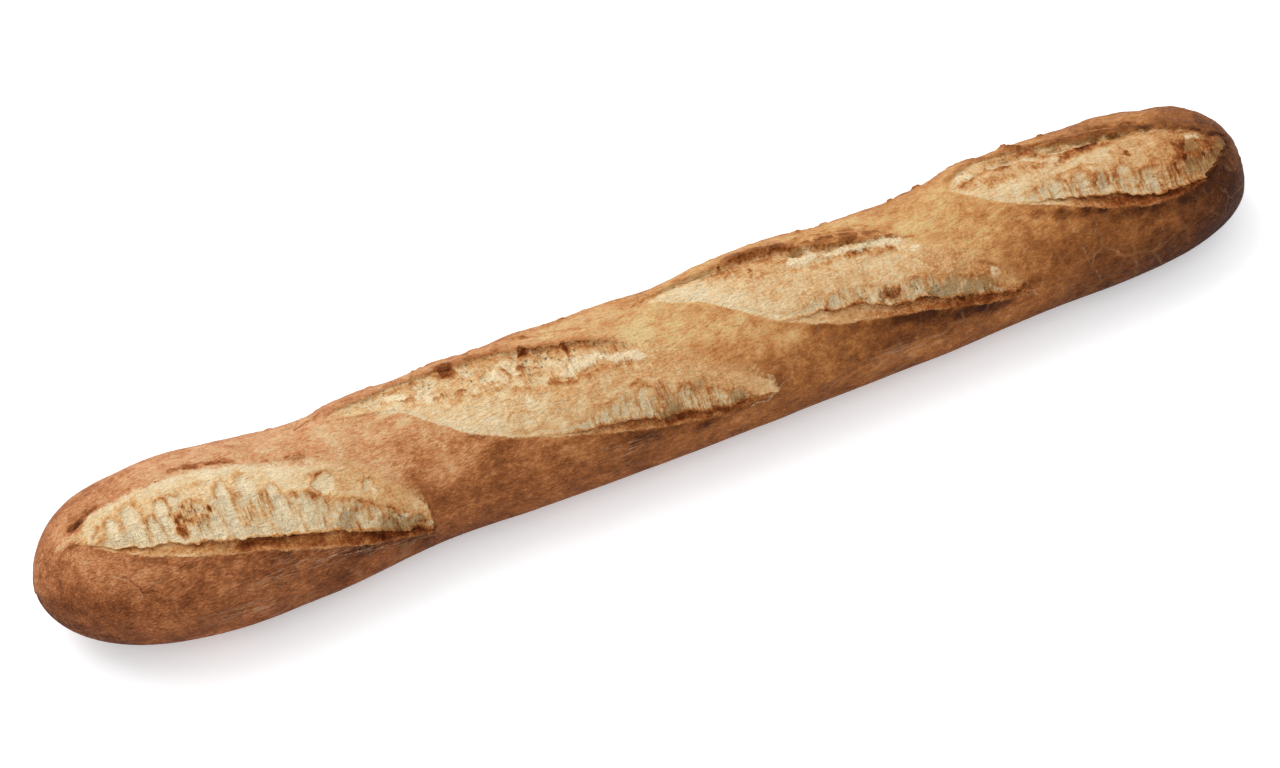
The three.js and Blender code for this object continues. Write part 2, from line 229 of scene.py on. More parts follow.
# What the baking left in single places. Each kind says how far it stands out in millimetres, how
# ragged and how soft its outline is, and which looks it adds.
KINDS = {
    "scab": dict(height=0.45, ragged=1.7, soft=0.60, brown=0.34),
    "freckles": dict(height=0.15, ragged=1.6, soft=0.80, tan=0.17, bake=0.10),
    "blister": dict(height=0.45, ragged=0.8, soft=0.70, bake=0.17),
    "dark blister": dict(height=0.50, ragged=0.9, soft=0.70, bake=0.30),
    "bump": dict(height=1.0, ragged=0.6, soft=0.50, bake=0.12),
    "seared": dict(height=0.10, ragged=1.0, soft=0.90, bake=0.20),
    "browned": dict(height=0.0, ragged=0.6, soft=0.80, bake=0.12),
    "pale": dict(height=0.0, ragged=0.6, soft=0.80, bake=-0.17),
    "tanned": dict(height=0.0, ragged=0.7, soft=0.80, tan=0.12),
    "cream": dict(height=0.15, ragged=0.8, soft=0.50, tan=-0.15, bake=-0.40, dough=2.0),
    # A hood browns a bubble's upper left edge: partly toast, partly painted shade.
    "bubble": dict(height=-0.8, ragged=0.6, soft=0.70, tan=-0.15, white=0.45, hood_shade=0.20),
    "small bubble": dict(height=-0.5, ragged=1.0, soft=0.60, tan=-0.08, white=0.50, hood_shade=0.13),
    "white": dict(height=-0.15, ragged=1.2, soft=0.70, tan=-0.08, white=0.95),
    "grey pit": dict(height=-0.6, ragged=0.9, soft=0.60, grey=0.80, hood_shade=0.10),
    "olive": dict(height=-0.4, ragged=1.2, soft=0.80, grey=1.0, tan=0.06),
    "greenish": dict(height=0.0, ragged=0.8, soft=0.80, grey=0.62, tan=0.03),
    "foam": dict(height=-0.1, ragged=0.8, soft=0.70, foam=0.9),
    # Holes and pores are browned with painted shade in their depths.
    "shaded_hole": dict(height=-1.2, ragged=1.6, soft=0.60, brown=0.55),
    "shaded_pore": dict(height=-0.5, ragged=0.9, soft=0.60, brown=0.34),
    "scuffed": dict(height=0.0, ragged=0.7, soft=0.80, scuff=1.0),
    "toasted": dict(height=0.45, ragged=1.1, soft=0.60, tan=0.64),
    "scorched": dict(height=0.2, ragged=1.5, soft=0.80, tan=0.25),
    "red ridge": dict(height=0.6, ragged=0.7, soft=0.70, brown=0.38),
    "crusted": dict(height=0.2, ragged=0.9, soft=0.50, bake=0.10, dough=-6.0),
    "dark crust": dict(height=0.0, ragged=0.6, soft=0.90, bake=0.20),
    "veined": dict(height=0.0, ragged=0.5, soft=0.90, vein=1.0),
    "dimpled": dict(height=-0.25, ragged=1.4, soft=0.80, tan=0.10, grey=0.25),
}
# Kind, place along and round the loaf, half-length and half-width in millimetres. A mark's number in
# the list seeds its outline, so a new one goes at the end.
MARKS = [
    # On and round the first slash, from its left end.
    ("shaded_pore", 20.6, -6.6, 2.2, 1.7), ("scab", 17, 1.2, 2.4, 1.4), ("cream", 16.5, -2.2, 4.5, 1.5),
    ("small bubble", 57, 1, 2.8, 2.7), ("foam", 63, 1.5, 5.5, 6.5), ("toasted", 58.5, 6, 4, 2.6),
    ("toasted", 56.2, 11, 2.6, 1.9), ("toasted", 68.8, 6, 1.2, 1.2), ("grey pit", 65.8, 10.8, 3.4, 2.4),
    ("white", 70.5, 13.3, 4.2, 2.6), ("cream", 40.5, 5.6, 3.2, 3.2), ("freckles", 61.5, 16.2, 4, 1.8),
    ("freckles", 69, 17, 3.6, 1.7), ("freckles", 68, -3.2, 3, 1), ("freckles", 94.4, 5.4, 2.4, 2),
    ("freckles", 83.2, 11, 1.2, 1.5), ("scorched", 99.6, 9.2, 1.2, 1.2), ("shaded_pore", 109, 5.6, 3.8, 0.9),
    ("bubble", 112.4, 9.4, 4.6, 3.7), ("small bubble", 127.8, 15.8, 2.3, 2.3),
    ("white", 129.4, 19.2, 1.2, 1.6), ("grey pit", 116, 25.2, 4.4, 3.6), ("cream", 109.2, 29.6, 3, 1.8),
    ("tanned", 137, 24, 7, 6), ("foam", 136, 33, 12, 4.5), ("olive", 131, 33.6, 6, 3),
    ("olive", 140, 37.6, 7, 2.6), ("shaded_pore", 142.6, 40.6, 3.6, 1.4), ("white", 126, 30, 2, 1.2),
    ("white", 137.6, 33, 2.4, 1), ("shaded_pore", 133, 35.4, 1, 0.9), ("shaded_pore", 139, 36.2, 1.8, 0.8),
    ("shaded_pore", 143, 39.4, 3.2, 1.1), ("shaded_pore", 134, 37, 2.2, 0.8), ("shaded_pore", 129, 33.2, 1, 0.7),
    ("shaded_pore", 54.5, -5, 0.6, 0.5), ("tanned", 120, 11, 7, 5), ("tanned", 74, -2.6, 24, 1.9),
    ("tanned", 45, -1, 9, 2.4), ("scab", 62.4, -12.2, 2.6, 1.3), ("blister", 106, -3.4, 4.6, 2),
    ("blister", 95, -5.8, 1.8, 0.9), ("dark blister", 53.6, 22.7, 3.2, 1.1), ("browned", 4, -4, 6, 16),
    ("scuffed", 88, 33, 14, 5), ("scuffed", 112, 37, 16, 4.5), ("scuffed", 70, 47, 14, 4),
    ("scuffed", 128, 42, 8, 3), ("seared", 86, 30, 12, 4), ("seared", 118, 38.5, 13, 3.2),
    ("blister", 151.5, 32.5, 3, 1.3), ("browned", 147, 25, 4, 9),
    # On and round the second.
    ("shaded_pore", 144.8, -15, 1.3, 0.7), ("foam", 142, -10, 3.4, 2.6), ("white", 149, -13, 2.8, 3),
    ("white", 154, -11, 2.5, 2.6), ("scab", 155.2, -6.6, 2.6, 1.6), ("scab", 166, -3.6, 2.4, 1.1),
    ("scab", 174.6, -1.8, 1.8, 1.6), ("white", 162, -8, 3.2, 2.4), ("shaded_pore", 174, -16, 3.8, 5.4),
    ("shaded_pore", 174.6, -17.2, 3, 3.6), ("shaded_pore", 175.4, -12, 1.2, 1.5), ("foam", 182, -9, 5.5, 4.5),
    ("foam", 166, -14, 5, 4), ("white", 189.8, -5, 2.8, 2.2), ("white", 196.3, -7.4, 3.6, 4.6),
    ("foam", 209, -5.4, 6.8, 4.2), ("white", 213, -1.2, 4, 2), ("foam", 228, -2.4, 7, 2.6),
    ("foam", 239, 2, 5, 2), ("cream", 146.2, -5, 3.6, 1.7), ("cream", 149.5, 1, 3, 1.2),
    ("freckles", 209, 6, 1.8, 1.7), ("freckles", 226.2, 7.4, 4, 1.4), ("freckles", 214.5, 7.6, 2.2, 1.5),
    ("white", 197, 8.8, 1.3, 2.6), ("dimpled", 193, 15.6, 3.6, 2.3), ("white", 194, 16.2, 1.8, 1),
    ("dimpled", 204.4, 18.2, 4.4, 2.4), ("white", 207, 21, 1.8, 0.9), ("olive", 262, 24.5, 2.6, 2.4),
    ("dimpled", 268.2, 25, 4.7, 2.6), ("olive", 248.5, 30.5, 3, 3.2), ("grey pit", 276.2, 34.6, 3.2, 3.4),
    ("shaded_pore", 267, 34.8, 2, 1.2), ("shaded_pore", 275, 38.4, 1.6, 0.8), ("shaded_pore", 257.6, 28, 0.8, 1.2),
    ("blister", 283, -9, 1.6, 1), ("pale", 265, 2, 6, 5), ("pale", 248, 0, 5, 4), ("pale", 248, -1, 4, 3),
    ("pale", 218, -19, 12, 4), ("pale", 375, -5, 8, 4), ("pale", 125, -9, 8, 5),
    ("dark crust", 90, 34, 17, 6), ("dark crust", 120, 41.5, 15, 4.5), ("dark crust", 102, 48, 16, 5),
    ("browned", 50, 31, 9, 6), ("dark crust", 336, 38, 14, 4.5), ("dark crust", 368, 39, 17, 5),
    ("dark crust", 352, 33.6, 26, 4.6), ("browned", 391, 4, 8, 6), ("pale", 460, 36, 14, 7),
    ("veined", 440, 34, 42, 22), ("veined", 118, 52, 40, 10), ("veined", 345, 44, 30, 12),
    ("seared", 172, 14.8, 7, 1.9), ("seared", 184, 21.5, 9, 1.8), ("seared", 240, 38, 18, 2.6),
    ("blister", 260.5, 41.5, 3.6, 2), ("pale", 248, -1, 5, 4), ("seared", 206, 28, 10, 1.6),
    ("pale", 158, 24, 7, 4), ("scuffed", 225, 40, 12, 4), ("browned", 178, 26, 12, 4),
    # On and round the third.
    ("pale", 248, -2, 5, 5), ("pale", 256, -9, 7, 5), ("browned", 264, 11, 5, 3.5),
    ("browned", 280, 17, 8, 5), ("shaded_pore", 278.2, -17.8, 0.9, 1.5), ("freckles", 287, -10, 6, 2.2),
    ("freckles", 297, -6, 7, 3), ("freckles", 306, -3, 6, 2.6), ("foam", 300, -11, 10, 2),
    ("scab", 300, -6.4, 0.9, 1.2), ("olive", 321, -9.4, 6, 1.6), ("scab", 344, -0.9, 3, 1.2),
    ("white", 326, -9.5, 1.6, 2.4), ("shaded_pore", 345, -7.4, 3, 1.1), ("olive", 336, -6, 6, 1),
    ("olive", 354, -5.2, 6, 0.9), ("white", 365.4, 4.4, 3.8, 1.1), ("seared", 291.5, 10.4, 6.5, 1.7),
    ("seared", 301.5, 16.2, 5, 1.7), ("seared", 315, 22, 5, 2), ("seared", 283, 3.4, 6, 1.3),
    ("scab", 321, 15.6, 1.4, 2.2), ("shaded_hole", 347.4, 18, 3.4, 1.7), ("shaded_pore", 348.4, 18.2, 2.8, 1.3),
    ("freckles", 352, 19, 3, 1.6), ("scab", 335, 16.6, 2.6, 1.1), ("scab", 351.5, 17.6, 1.4, 2),
    ("scab", 376.8, 29.6, 2, 1.6), ("foam", 361, 22, 14, 3), ("olive", 368, 24, 6, 2.2),
    ("olive", 382, 27.5, 7, 2.4), ("foam", 390, 31, 10, 2.4), ("shaded_hole", 402, 36.4, 2.2, 0.8),
    ("shaded_pore", 399, 34.6, 1.4, 0.5), ("shaded_pore", 404.6, 38, 1.4, 0.5), ("white", 391.6, 25.2, 1.9, 2.9),
    ("shaded_pore", 389, 32, 1, 1.1), ("tanned", 378, 14, 13, 7), ("greenish", 378, 19, 15, 6),
    ("greenish", 393, 29, 8, 5), ("tanned", 390, 25, 9, 7), ("browned", 200, 45, 14, 6),
    ("seared", 360, 28.8, 17, 1.6), ("seared", 390, 36, 14, 2.2), ("seared", 332, 26, 9, 2),
    ("pale", 302, 22, 6, 3), ("browned", 368, 34, 22, 5), ("scuffed", 350, 44, 16, 4),
    ("pale", 333, 35, 8, 3.5), ("browned", 316, 28, 8, 4),
    # On and round the fourth.
    ("pale", 383, -13, 7, 6), ("browned", 393, 2, 7, 5), ("browned", 399, 17, 9, 9),
    ("white", 400, -15.6, 3.6, 3.4), ("olive", 404, -12.6, 2.2, 1.5), ("olive", 417, -13.2, 4.2, 2.8),
    ("freckles", 401, -8.6, 3.4, 1.8), ("freckles", 408.6, -5.2, 5.4, 2.4),
    ("freckles", 420, -4.6, 5, 1.6), ("freckles", 396, -9.6, 3, 1.6), ("freckles", 414, -8.6, 4, 1.6),
    ("freckles", 430, -4.4, 3.4, 1.4), ("foam", 402, -10, 9, 4), ("shaded_pore", 429, -7.4, 2, 0.8),
    ("olive", 466, -7.4, 5, 2), ("shaded_pore", 466, -7.8, 4.6, 1.8), ("shaded_pore", 508.4, 8.8, 2.4, 4),
    ("greenish", 508, 9, 3, 4), ("foam", 468, -6, 7, 2.4), ("white", 434, -5, 4, 2),
    ("scab", 464.2, 1, 1.6, 2.2), ("red ridge", 437.5, -4, 4, 1.7), ("red ridge", 444, -4.8, 4.4, 2.2),
    ("red ridge", 451.5, -5, 4.4, 2.2), ("red ridge", 457.5, -4.2, 3, 1.2), ("scorched", 398, -9, 3, 1.6),
    ("scorched", 405, -6.4, 4.5, 1.6), ("scorched", 412, -3.8, 4.5, 1.4), ("scorched", 415, -8.8, 3, 1.2),
    ("scorched", 422, -6.4, 3.6, 1.6), ("scorched", 428, -4.6, 3.6, 1.3), ("freckles", 473.4, 8, 1.8, 4),
    ("tanned", 472, 2, 12, 5), ("tanned", 490, 8, 13, 9), ("olive", 492, 6, 4, 2.4),
    ("scorched", 499, 12, 3.4, 2.2), ("scorched", 488, 6, 3, 4), ("freckles", 484, 8, 4, 5),
    ("freckles", 497, 10, 3.5, 4), ("white", 494.5, 2, 4.2, 1.7), ("greenish", 499, 12, 10, 7),
    ("olive", 499, 3, 3, 2), ("foam", 486, 2, 12, 5), ("crusted", 498.5, 20.4, 6, 3),
    ("crusted", 507.5, 15, 5, 3.2), ("greenish", 506.5, 8, 4, 5.5), ("scorched", 503, 6, 2.4, 3),
    ("freckles", 508, 6, 2.4, 5), ("freckles", 458, 1, 1.4, 3), ("shaded_pore", 500, 6, 1.5, 0.8),
    ("shaded_pore", 489, 12, 1.2, 0.9), ("olive", 488, 15.5, 4, 2.6), ("blister", 407, 6.8, 3.6, 1.1),
    ("blister", 416.4, 11.8, 3.6, 1.5), ("dark blister", 425.4, 15.2, 3.2, 1.7),
    ("dark blister", 436.4, 17.2, 2.3, 1.3), ("dark blister", 443.6, 18.9, 3.2, 1),
    ("seared", 462, 23, 18, 1.7), ("seared", 482, 26.5, 12, 2.6), ("browned", 430, 28, 16, 6),
    ("pale", 456, 32, 14, 7), ("pale", 430, 30, 14, 7), ("browned", 500, 22, 12, 7),
    ("browned", 507, -10, 8, 9), ("pale", 432, 14.5, 4, 1.6), ("dark blister", 473, -13, 3.6, 1.2),
    # Small blisters that show against the table along the back.
    ("bump", 341, -27, 2.4, 1.6), ("bump", 330, -26, 1.6, 1.4), ("bump", 425, -27, 2.2, 1.6),
    ("bump", 441, -26, 1.8, 1.4), ("bump", 372, -29, 1.6, 1.4), ("bump", 385, -30, 2, 1.4),
    ("bump", 226, -24.5, 2, 1.5), ("bump", 206, -20, 3.6, 0.9),
]

# Strokes: the look, how strong, half-width and height in millimetres, and the path it follows. Brown
# darkens crust and open dough alike.
STROKES = [
    # First slash: cream band below the lip, torn tongue and cracks at the left end, creases.
    ("tan", -0.12, 3.2, 0.15, [(28, -6.5), (45, -8.2), (62, -8.2), (85, -5.6), (106, -0.5), (120, 7.5)]),
    ("tan", 0.17, 0.8, 0.25, [(99, 9.5), (107, 12.2), (115, 16.6), (123, 20.2), (128, 24), (133, 28)]),
    ("white", 0.80, 1.5, 0.75, [(32, -6.0), (27, -4.6), (24.6, -1.4), (23.9, 3.4)]),
    ("tan", 0.29, 0.6, 0.15, [(22.6, -3.4), (22.3, 1.0), (23.4, 4.6), (26.2, 1.4), (28.4, -0.6)]),
    ("brown", 0.27, 0.6, -0.5, [(20.5, -6.0), (24.5, -8.4), (31.0, -9.3)]),
    ("brown", 0.37, 0.45, -0.4, [(26.2, -8.6), (26.8, -11.0)]),
    ("brown", 0.28, 0.8, -0.5, [(18.4, -6.0), (21.4, -8.2), (26.2, -9.8)]),
    ("brown", 0.24, 0.6, -0.4, [(19.4, -4.8), (24.0, -6.8)]),
    ("brown", 0.28, 0.5, -0.3, [(19.0, 1.6), (22.0, 0.8)]),
    ("bake", 0.55, 1.3, -0.55, [(67, -11.8), (76, -10.7), (84.5, -8.4)]),
    ("brown", 0.26, 0.6, -0.4, [(103.5, -4.6), (105.8, -1.7), (110.2, -1.0)]),
    ("brown", 0.17, 0.4, -0.25, [(111, 0.2), (116, 1.8), (121, 5), (125, 8), (129.5, 12)]),
    ("brown", 0.40, 0.8, -0.5, [(106.8, 6.6), (108.8, 5.3), (112.4, 5.0)]),
    # Dark strip under its torn rim, in pieces: burnt crust, with painted shade where it lies close under the
    # rim.
    ("brown", 0.30, 1.2, -0.3, [(73, 21.0), (80, 21.6), (88, 22.0), (95, 22.8)]),
    ("brown", 0.12, 1.4, -0.2, [(99, 26.2), (105, 28.0)]),
    ("brown", 0.22, 1.8, -0.3, [(113, 32.4), (116, 33.2), (122, 35.0), (128, 38.0)]),
    ("brown", 0.16, 1.6, -0.2, [(128, 38.4), (136, 41.6), (146, 44.8)]),
    ("brown", 0.09, 1.2, 0.0, [(34, 10.8), (44, 14.2), (54, 16.2), (64, 18.0)]),
    # Star-shaped crack and fine lines in the crust near the left end.
    ("brown", 0.30, 0.35, -0.25, [(30.2, 21), (32.4, 23.2), (34.2, 25.8), (34.8, 28.4)]),
    ("brown", 0.23, 0.35, -0.25, [(34.8, 28.4), (38.0, 28.4), (41.0, 29.6)]),
    ("pale", 0.55, 0.35, 0.1, [(27.0, 19.6), (31.4, 22.4), (33.6, 26.6), (34.4, 31.0)]),
    ("pale", 0.45, 0.35, 0.1, [(34.6, 27.4), (39.4, 25.4), (44.0, 25.0)]),
    ("pale", 0.35, 0.35, 0.1, [(22.0, 17.0), (27.0, 19.6), (30.0, 18.4)]),
    # Pale scuffs in the dark crust below it.
    ("pale", 0.50, 0.3, 0.1, [(71, 37.8), (76, 38.6), (82, 37.8), (88, 39.2)]),
    ("pale", 0.45, 0.3, 0.1, [(73, 36.2), (80, 36.8), (86, 36.0)]),
    ("pale", 0.40, 0.3, 0.1, [(78, 40.4), (85, 40.4), (92, 42.0)]),
    ("pale", 0.45, 0.3, 0.1, [(84, 30.6), (90, 31.6), (95, 33.2)]),
    ("pale", 0.40, 0.3, 0.1, [(96, 33.2), (101, 35.0), (107, 36.0)]),
    ("pale", 0.45, 0.3, 0.1, [(109, 37.4), (114, 38.6), (121, 40.6)]),
    ("pale", 0.35, 0.3, 0.1, [(123, 41.4), (129, 43.0), (136, 45.4)]),
    # Second slash: crack that starts it, struts across the tear, white ridge and its toasted foot.
    ("brown", 0.35, 0.5, -0.5, [(111.5, -17.2), (116.5, -18.9), (121.5, -19.6)]),
    ("tan", -0.10, 4.0, 0.1, [(144, -4.5), (154, -1.5), (164, 4.5), (174, 10.5), (186, 16.5)]),
    ("tan", 0.15, 1.2, 1.1, [(163.5, -24), (161.5, -18), (158.5, -12.5)]),
    ("tan", 0.40, 1.4, 1.0, [(204.5, -13), (201.6, -6.5), (199.2, -1.8)]),
    ("tan", 0.22, 0.9, 1.2, [(219.8, -8), (219.2, -0.8)]),
    ("tan", 0.19, 0.8, 0.9, [(193.5, -11), (193.4, -6), (195.5, -3)]),
    ("white", 1.10, 2.2, 0.85, [(215, 3.6), (219, 1.4), (224, 2.8), (229, 1.3), (234, 4.0), (240, 4.2),
                                (246, 7.2)]),
    ("torn", 0.8, 4.0, 0.0, [(215, 3.0), (230, 2.4), (246, 7.0)]),
    ("white", 0.50, 1.2, 0.3, [(224, 25.0), (235, 27.4), (246, 29.6)]),
    ("tan", 0.06, 0.9, 0.35, [(179, 1.0), (188, 2.0), (195, 4.0), (200, 6.2), (203, 9.0)]),
    ("tan", 0.10, 0.8, 0.25, [(204.5, 8.0), (209.0, 5.4), (212.5, 7.6), (217.0, 8.4)]),
    ("tan", 0.10, 0.9, 0.25, [(221, 8.2), (228, 7.6), (238, 7.6), (246, 9.6)]),
    ("tan", 0.19, 0.6, 0.2, [(186.5, 14.0), (188.5, 11.2), (193.0, 11.0), (197.5, 13.4)]),
    ("tan", 0.14, 0.6, 0.1, [(187, 18.4), (192, 19.8), (198, 19.4)]),
    ("tan", 0.10, 0.8, 0.3, [(220, 19.6), (229, 18.2), (237, 15.8), (243, 14.6)]),
    ("white", 0.60, 0.4, 0.5, [(245.4, 18), (245.8, 25), (247.4, 32)]),
    ("white", 0.50, 0.5, 0.5, [(249.0, 20), (251.0, 26), (252.0, 33)]),
    ("tan", 0.16, 0.5, 0.4, [(247.2, 18), (248.6, 24), (249.4, 31)]),
    ("pale", 0.65, 0.5, 0.25, [(281, 41.6), (288, 42.4), (293, 38.8), (299, 36.2), (300.4, 32),
                               (303, 29)]),
    ("pale", 0.45, 0.4, 0.15, [(303, 29), (304.6, 24), (307.4, 18)]),
    ("bake", 0.30, 0.8, -0.3, [(205, -19.8), (213, -17.4), (219, -14.4)]),
    ("bake", 0.25, 0.7, -0.3, [(214, -19.5), (222, -16.0), (229, -11.5)]),
    ("brown", 0.17, 1.0, -0.2, [(220, 26.8), (232, 29.2), (244, 30.8)]),
    ("brown", 0.23, 1.5, -0.2, [(247, 34.0), (257, 35.2), (268, 37.4), (276, 39.4)]),
    ("brown", 0.12, 1.6, 0.2, [(178, -17.2), (186, -16.6), (194, -14.8), (199, -12.4)]),
    ("brown", 0.10, 1.6, 0.2, [(204, -10.6), (212, -7.6), (220, -4.8), (230, -2.2)]),
    # Third slash: dashes that start it, cream band along the blade's cut, white ridge, crack.
    ("brown", 0.28, 0.5, -0.4, [(252, -15.4), (254.2, -17.0)]),
    ("brown", 0.20, 1.3, -0.4, [(263, -17.2), (272, -17.0), (284, -16.2), (293, -16.4)]),
    ("brown", 0.32, 0.6, -0.5, [(256.6, -17.0), (261.0, -19.2)]),
    ("tan", -0.13, 4.2, 0.1, [(263, -13), (272, -8.6), (281, -3.4), (291, 3.6), (301, 11.4)]),
    ("tan", -0.12, 2.0, 0.2, [(318, -4.0), (330, -3.0), (344, -2.6), (361, -2.0)]),
    ("white", 1.30, 2.1, 0.85, [(316, -4.2), (321, -2.8), (326, -3.8), (332, -1.8), (338, -3.2),
                                (344, -1.8), (350, -3.2), (361, -1.8)]),
    ("torn", 0.9, 3.6, 0.0, [(312, -3.6), (338, -2.6), (362, -2.0)]),
    ("tan", 0.20, 0.8, 0.3, [(312, -0.8), (322, 0.4), (331, 0.8), (341, 0.2)]),
    ("tan", 0.20, 0.8, 0.3, [(341, 0.4), (346, 1.2), (350, 1.8), (358, 1.6)]),
    ("brown", 0.28, 0.5, -0.4, [(353, -4.6), (359, -3.6), (363, -1.6), (368.4, -0.2)]),
    ("bake", 0.22, 0.8, -0.4, [(321, -17.5), (332, -16.2), (342, -13.6), (352, -11.4)]),
    ("bake", 0.20, 0.8, -0.4, [(330, -20), (343, -16.6), (354, -13.0), (362, -8)]),
    ("pale", 0.50, 0.4, 0.1, [(395.6, 7), (393.4, 13.6), (391.2, 20)]),
    ("brown", 0.28, 0.5, -0.4, [(387.2, 19.4), (389.2, 20.4), (393.4, 23.6)]),
    ("pale", 0.55, 0.5, 0.15, [(403.6, 37.8), (406.6, 40.6), (408.4, 43.4)]),
    ("brown", 0.22, 3.0, 0.0, [(296, -18.6), (296, -18.4), (306, -16.6), (314, -13.8)]),
    ("brown", 0.12, 1.9, 0.0, [(343, 26.6), (356, 28.2), (368, 30.6), (382, 33.4), (402, 38.6)]),
    ("bake", 0.16, 2.4, 0.0, [(330, 26.2), (343, 28.2), (356, 30.2), (369, 33.8), (382, 37.6),
                              (394, 41.0), (404, 43.8)]),
    ("brown", 0.12, 1.1, -0.2, [(350, 21.4), (358, 24.4), (366, 27.2)]),
    ("bake", 0.18, 3.4, 0.2, [(318, -14.6), (332, -12.6), (344, -10.8), (356, -7.0)]),
    # Fourth slash: fold of crust across the tear, dark line and reddish ridge beside it.
    ("tan", -0.12, 3.4, 0.1, [(391, -7), (403, -1.4), (413, 2.4), (422, 4.0)]),
    ("tan", -0.10, 3.0, 0.1, [(408, -1), (424, -1.6), (440, -1.6), (450, 0)]),
    ("brown", 0.19, 2.0, 1.4, [(423.5, -25), (427, -17), (430.5, -11), (434, -8)]),
    ("grey", 1.20, 2.2, -0.2, [(436, -13.2), (447, -12.2), (456, -11.2), (464, -9.6)]),
    ("brown", 0.07, 1.1, -0.6, [(437, -13.2), (447, -11.4), (456, -10.4), (464, -9.0)]),
    ("brown", 0.25, 1.0, 0.3, [(446, -5.8), (454, -5.6)]),
    ("brown", 0.28, 0.5, -0.4, [(493.6, -0.6), (497, -1.3), (500.6, -0.6)]),
    ("brown", 0.37, 0.9, -0.6, [(503, 2.6), (507, 1.8), (511, 2.8)]),
    ("tan", 0.19, 0.7, 0.3, [(433, 1.2), (444, 1.2), (452, 3.2)]),
    ("bake", 0.35, 1.1, -0.4, [(476, -8.6), (479.4, -7), (478.4, -4.4)]),
    ("brown", 0.19, 1.1, -0.2, [(430, 10.2), (442, 13.8), (452, 16.8), (463, 19.8)]),
    ("brown", 0.22, 1.1, -0.2, [(470, 21.4), (480, 22.4), (490, 23.2)]),
    # Reddish folds of crust along the far lips, and pale veins between the smooth patches of the side.
    ("bake", 0.16, 0.7, 0.5, [(428, -15.6), (440, -15.0), (452, -13.6), (462, -12.2), (474, -10.6)]),
    ("bake", 0.20, 0.6, -0.4, [(430, -17.6), (444, -17.2), (458, -15.4), (470, -13.4)]),
    ("bake", 0.16, 0.7, 0.5, [(322, -12.6), (334, -11.4), (346, -9.6), (356, -7.4)]),
    ("pale", 0.40, 0.8, 0.3, [(324, -15.0), (334, -13.8), (346, -11.9), (357, -9.0)]),
    ("pale", 0.40, 0.4, 0.1, [(406, 8), (406.4, 18), (407.6, 30)]),
    ("pale", 0.40, 0.4, 0.1, [(424, 17), (419, 26), (413.6, 33), (410, 42)]),
    ("pale", 0.40, 0.4, 0.1, [(428, 17), (430, 28), (433.4, 40)]),
    ("pale", 0.35, 0.4, 0.1, [(441, 20), (436.4, 28), (434, 40), (439, 50)]),
    ("pale", 0.35, 0.4, 0.1, [(453, 25), (450, 32), (444.6, 40)]),
    ("pale", 0.30, 0.4, 0.1, [(467, 28), (467.4, 38), (460, 46)]),
]


def random_at(i, j, seed):
    """A repeatable random number, 0 to 1, for each pair of whole numbers."""
    low_32, low_24 = 0xFFFFFFFF, 0xFFFFFF
    h = (i.astype(np.int64) * 374761393 + j.astype(np.int64) * 668265263 + seed * 974634777) & low_32
    h = ((h ^ (h >> 13)) * 1274126177) & low_32
    return ((h ^ (h >> 16)) & low_24) / low_24


def waves(x, y, seed):
    """Smooth random unevenness between -1 and 1, about one wave for each unit."""
    i, j = np.floor(x), np.floor(y)
    u, v = smooth(x - i), smooth(y - j)
    low = random_at(i, j, seed) * (1 - u) + random_at(i + 1, j, seed) * u
    high = random_at(i, j + 1, seed) * (1 - u) + random_at(i + 1, j + 1, seed) * u
    return 2 * (low * (1 - v) + high * v) - 1


def rough_waves(x, y, seed):
    """The same with finer and finer waves on it."""
    return (waves(x, y, seed) + 0.5 * waves(2.1 * x, 2.1 * y, seed + 1)
            + 0.3 * waves(4.3 * x, 4.3 * y, seed + 2)) / 1.4


def ripple(s, length, seed):
    """Unevenness along the loaf alone."""
    return waves(s / length, 0 * s + seed * 3.7, seed)


def cells(x, y, seed):
    """Distance to the nearest of a scatter of centres, one in each unit square, its random number, and
    how far round the loaf from it the place lies."""
    i, j = np.floor(x), np.floor(y)
    nearest = np.full(np.broadcast(x, y).shape, 9.0)
    mark = np.zeros_like(nearest)
    below = np.zeros_like(nearest)
    for di in (-1, 0, 1):
        for dj in (-1, 0, 1):
            px = i + di + random_at(i + di, j + dj, seed)
            py = j + dj + random_at(i + di, j + dj, seed + 1)
            away = np.hypot(x - px, y - py)
            closer = away < nearest
            nearest = np.where(closer, away, nearest)
            below = np.where(closer, y - py, below)
            mark = np.where(closer, random_at(i + di, j + dj, seed + 2), mark)
    return nearest, mark, below


def flutes(s, width, seed):
    """Side by side hollows along the loaf, each 1 at its middle and 0 at its edges."""
    place = s / width + 0.6 * ripple(s, 2.3 * width, seed)
    across = 2 * (place - np.floor(place)) - 1
    tall = 0.25 + 0.75 * random_at(np.floor(place), 0 * place, seed)
    return np.sqrt(np.clip(1 - across**2, 0, 1)) * tall


def bump_at(x, width):
    """1 at x = 0, falling smoothly to 0 at a distance of width."""
    return smooth(1 - np.abs(x) / width)


def between(c, knots):
    """Straight runs between knots, each a place and a value for every row of the loaf."""
    total = np.zeros(np.broadcast(c, knots[0][0]).shape)
    for (c0, v0), (c1, v1) in zip(knots[:-1], knots[1:]):
        u = (c - c0) / np.maximum(c1 - c0, 1e-6)
        total += np.where((c >= c0) & (c < c1), v0 + (v1 - v0) * u, 0)
    return total


HAIR = 0.05


def in_order(knots):
    """The same knots, each at least a hair further round than the one before."""
    kept = [knots[0]]
    for place, value in knots[1:]:
        kept.append((np.maximum(place, kept[-1][0] + HAIR), value))
    return kept


# Fine rows and columns over the slashed top, wider columns underneath.
ROW_STEP = 0.44
COLUMN_STEP = 0.40
BASE_STEP = 2.4
TOP_FROM, TOP_TO = -36.0, 58.0
TIP_REACH = 14.0
TIP_ROWS = 22

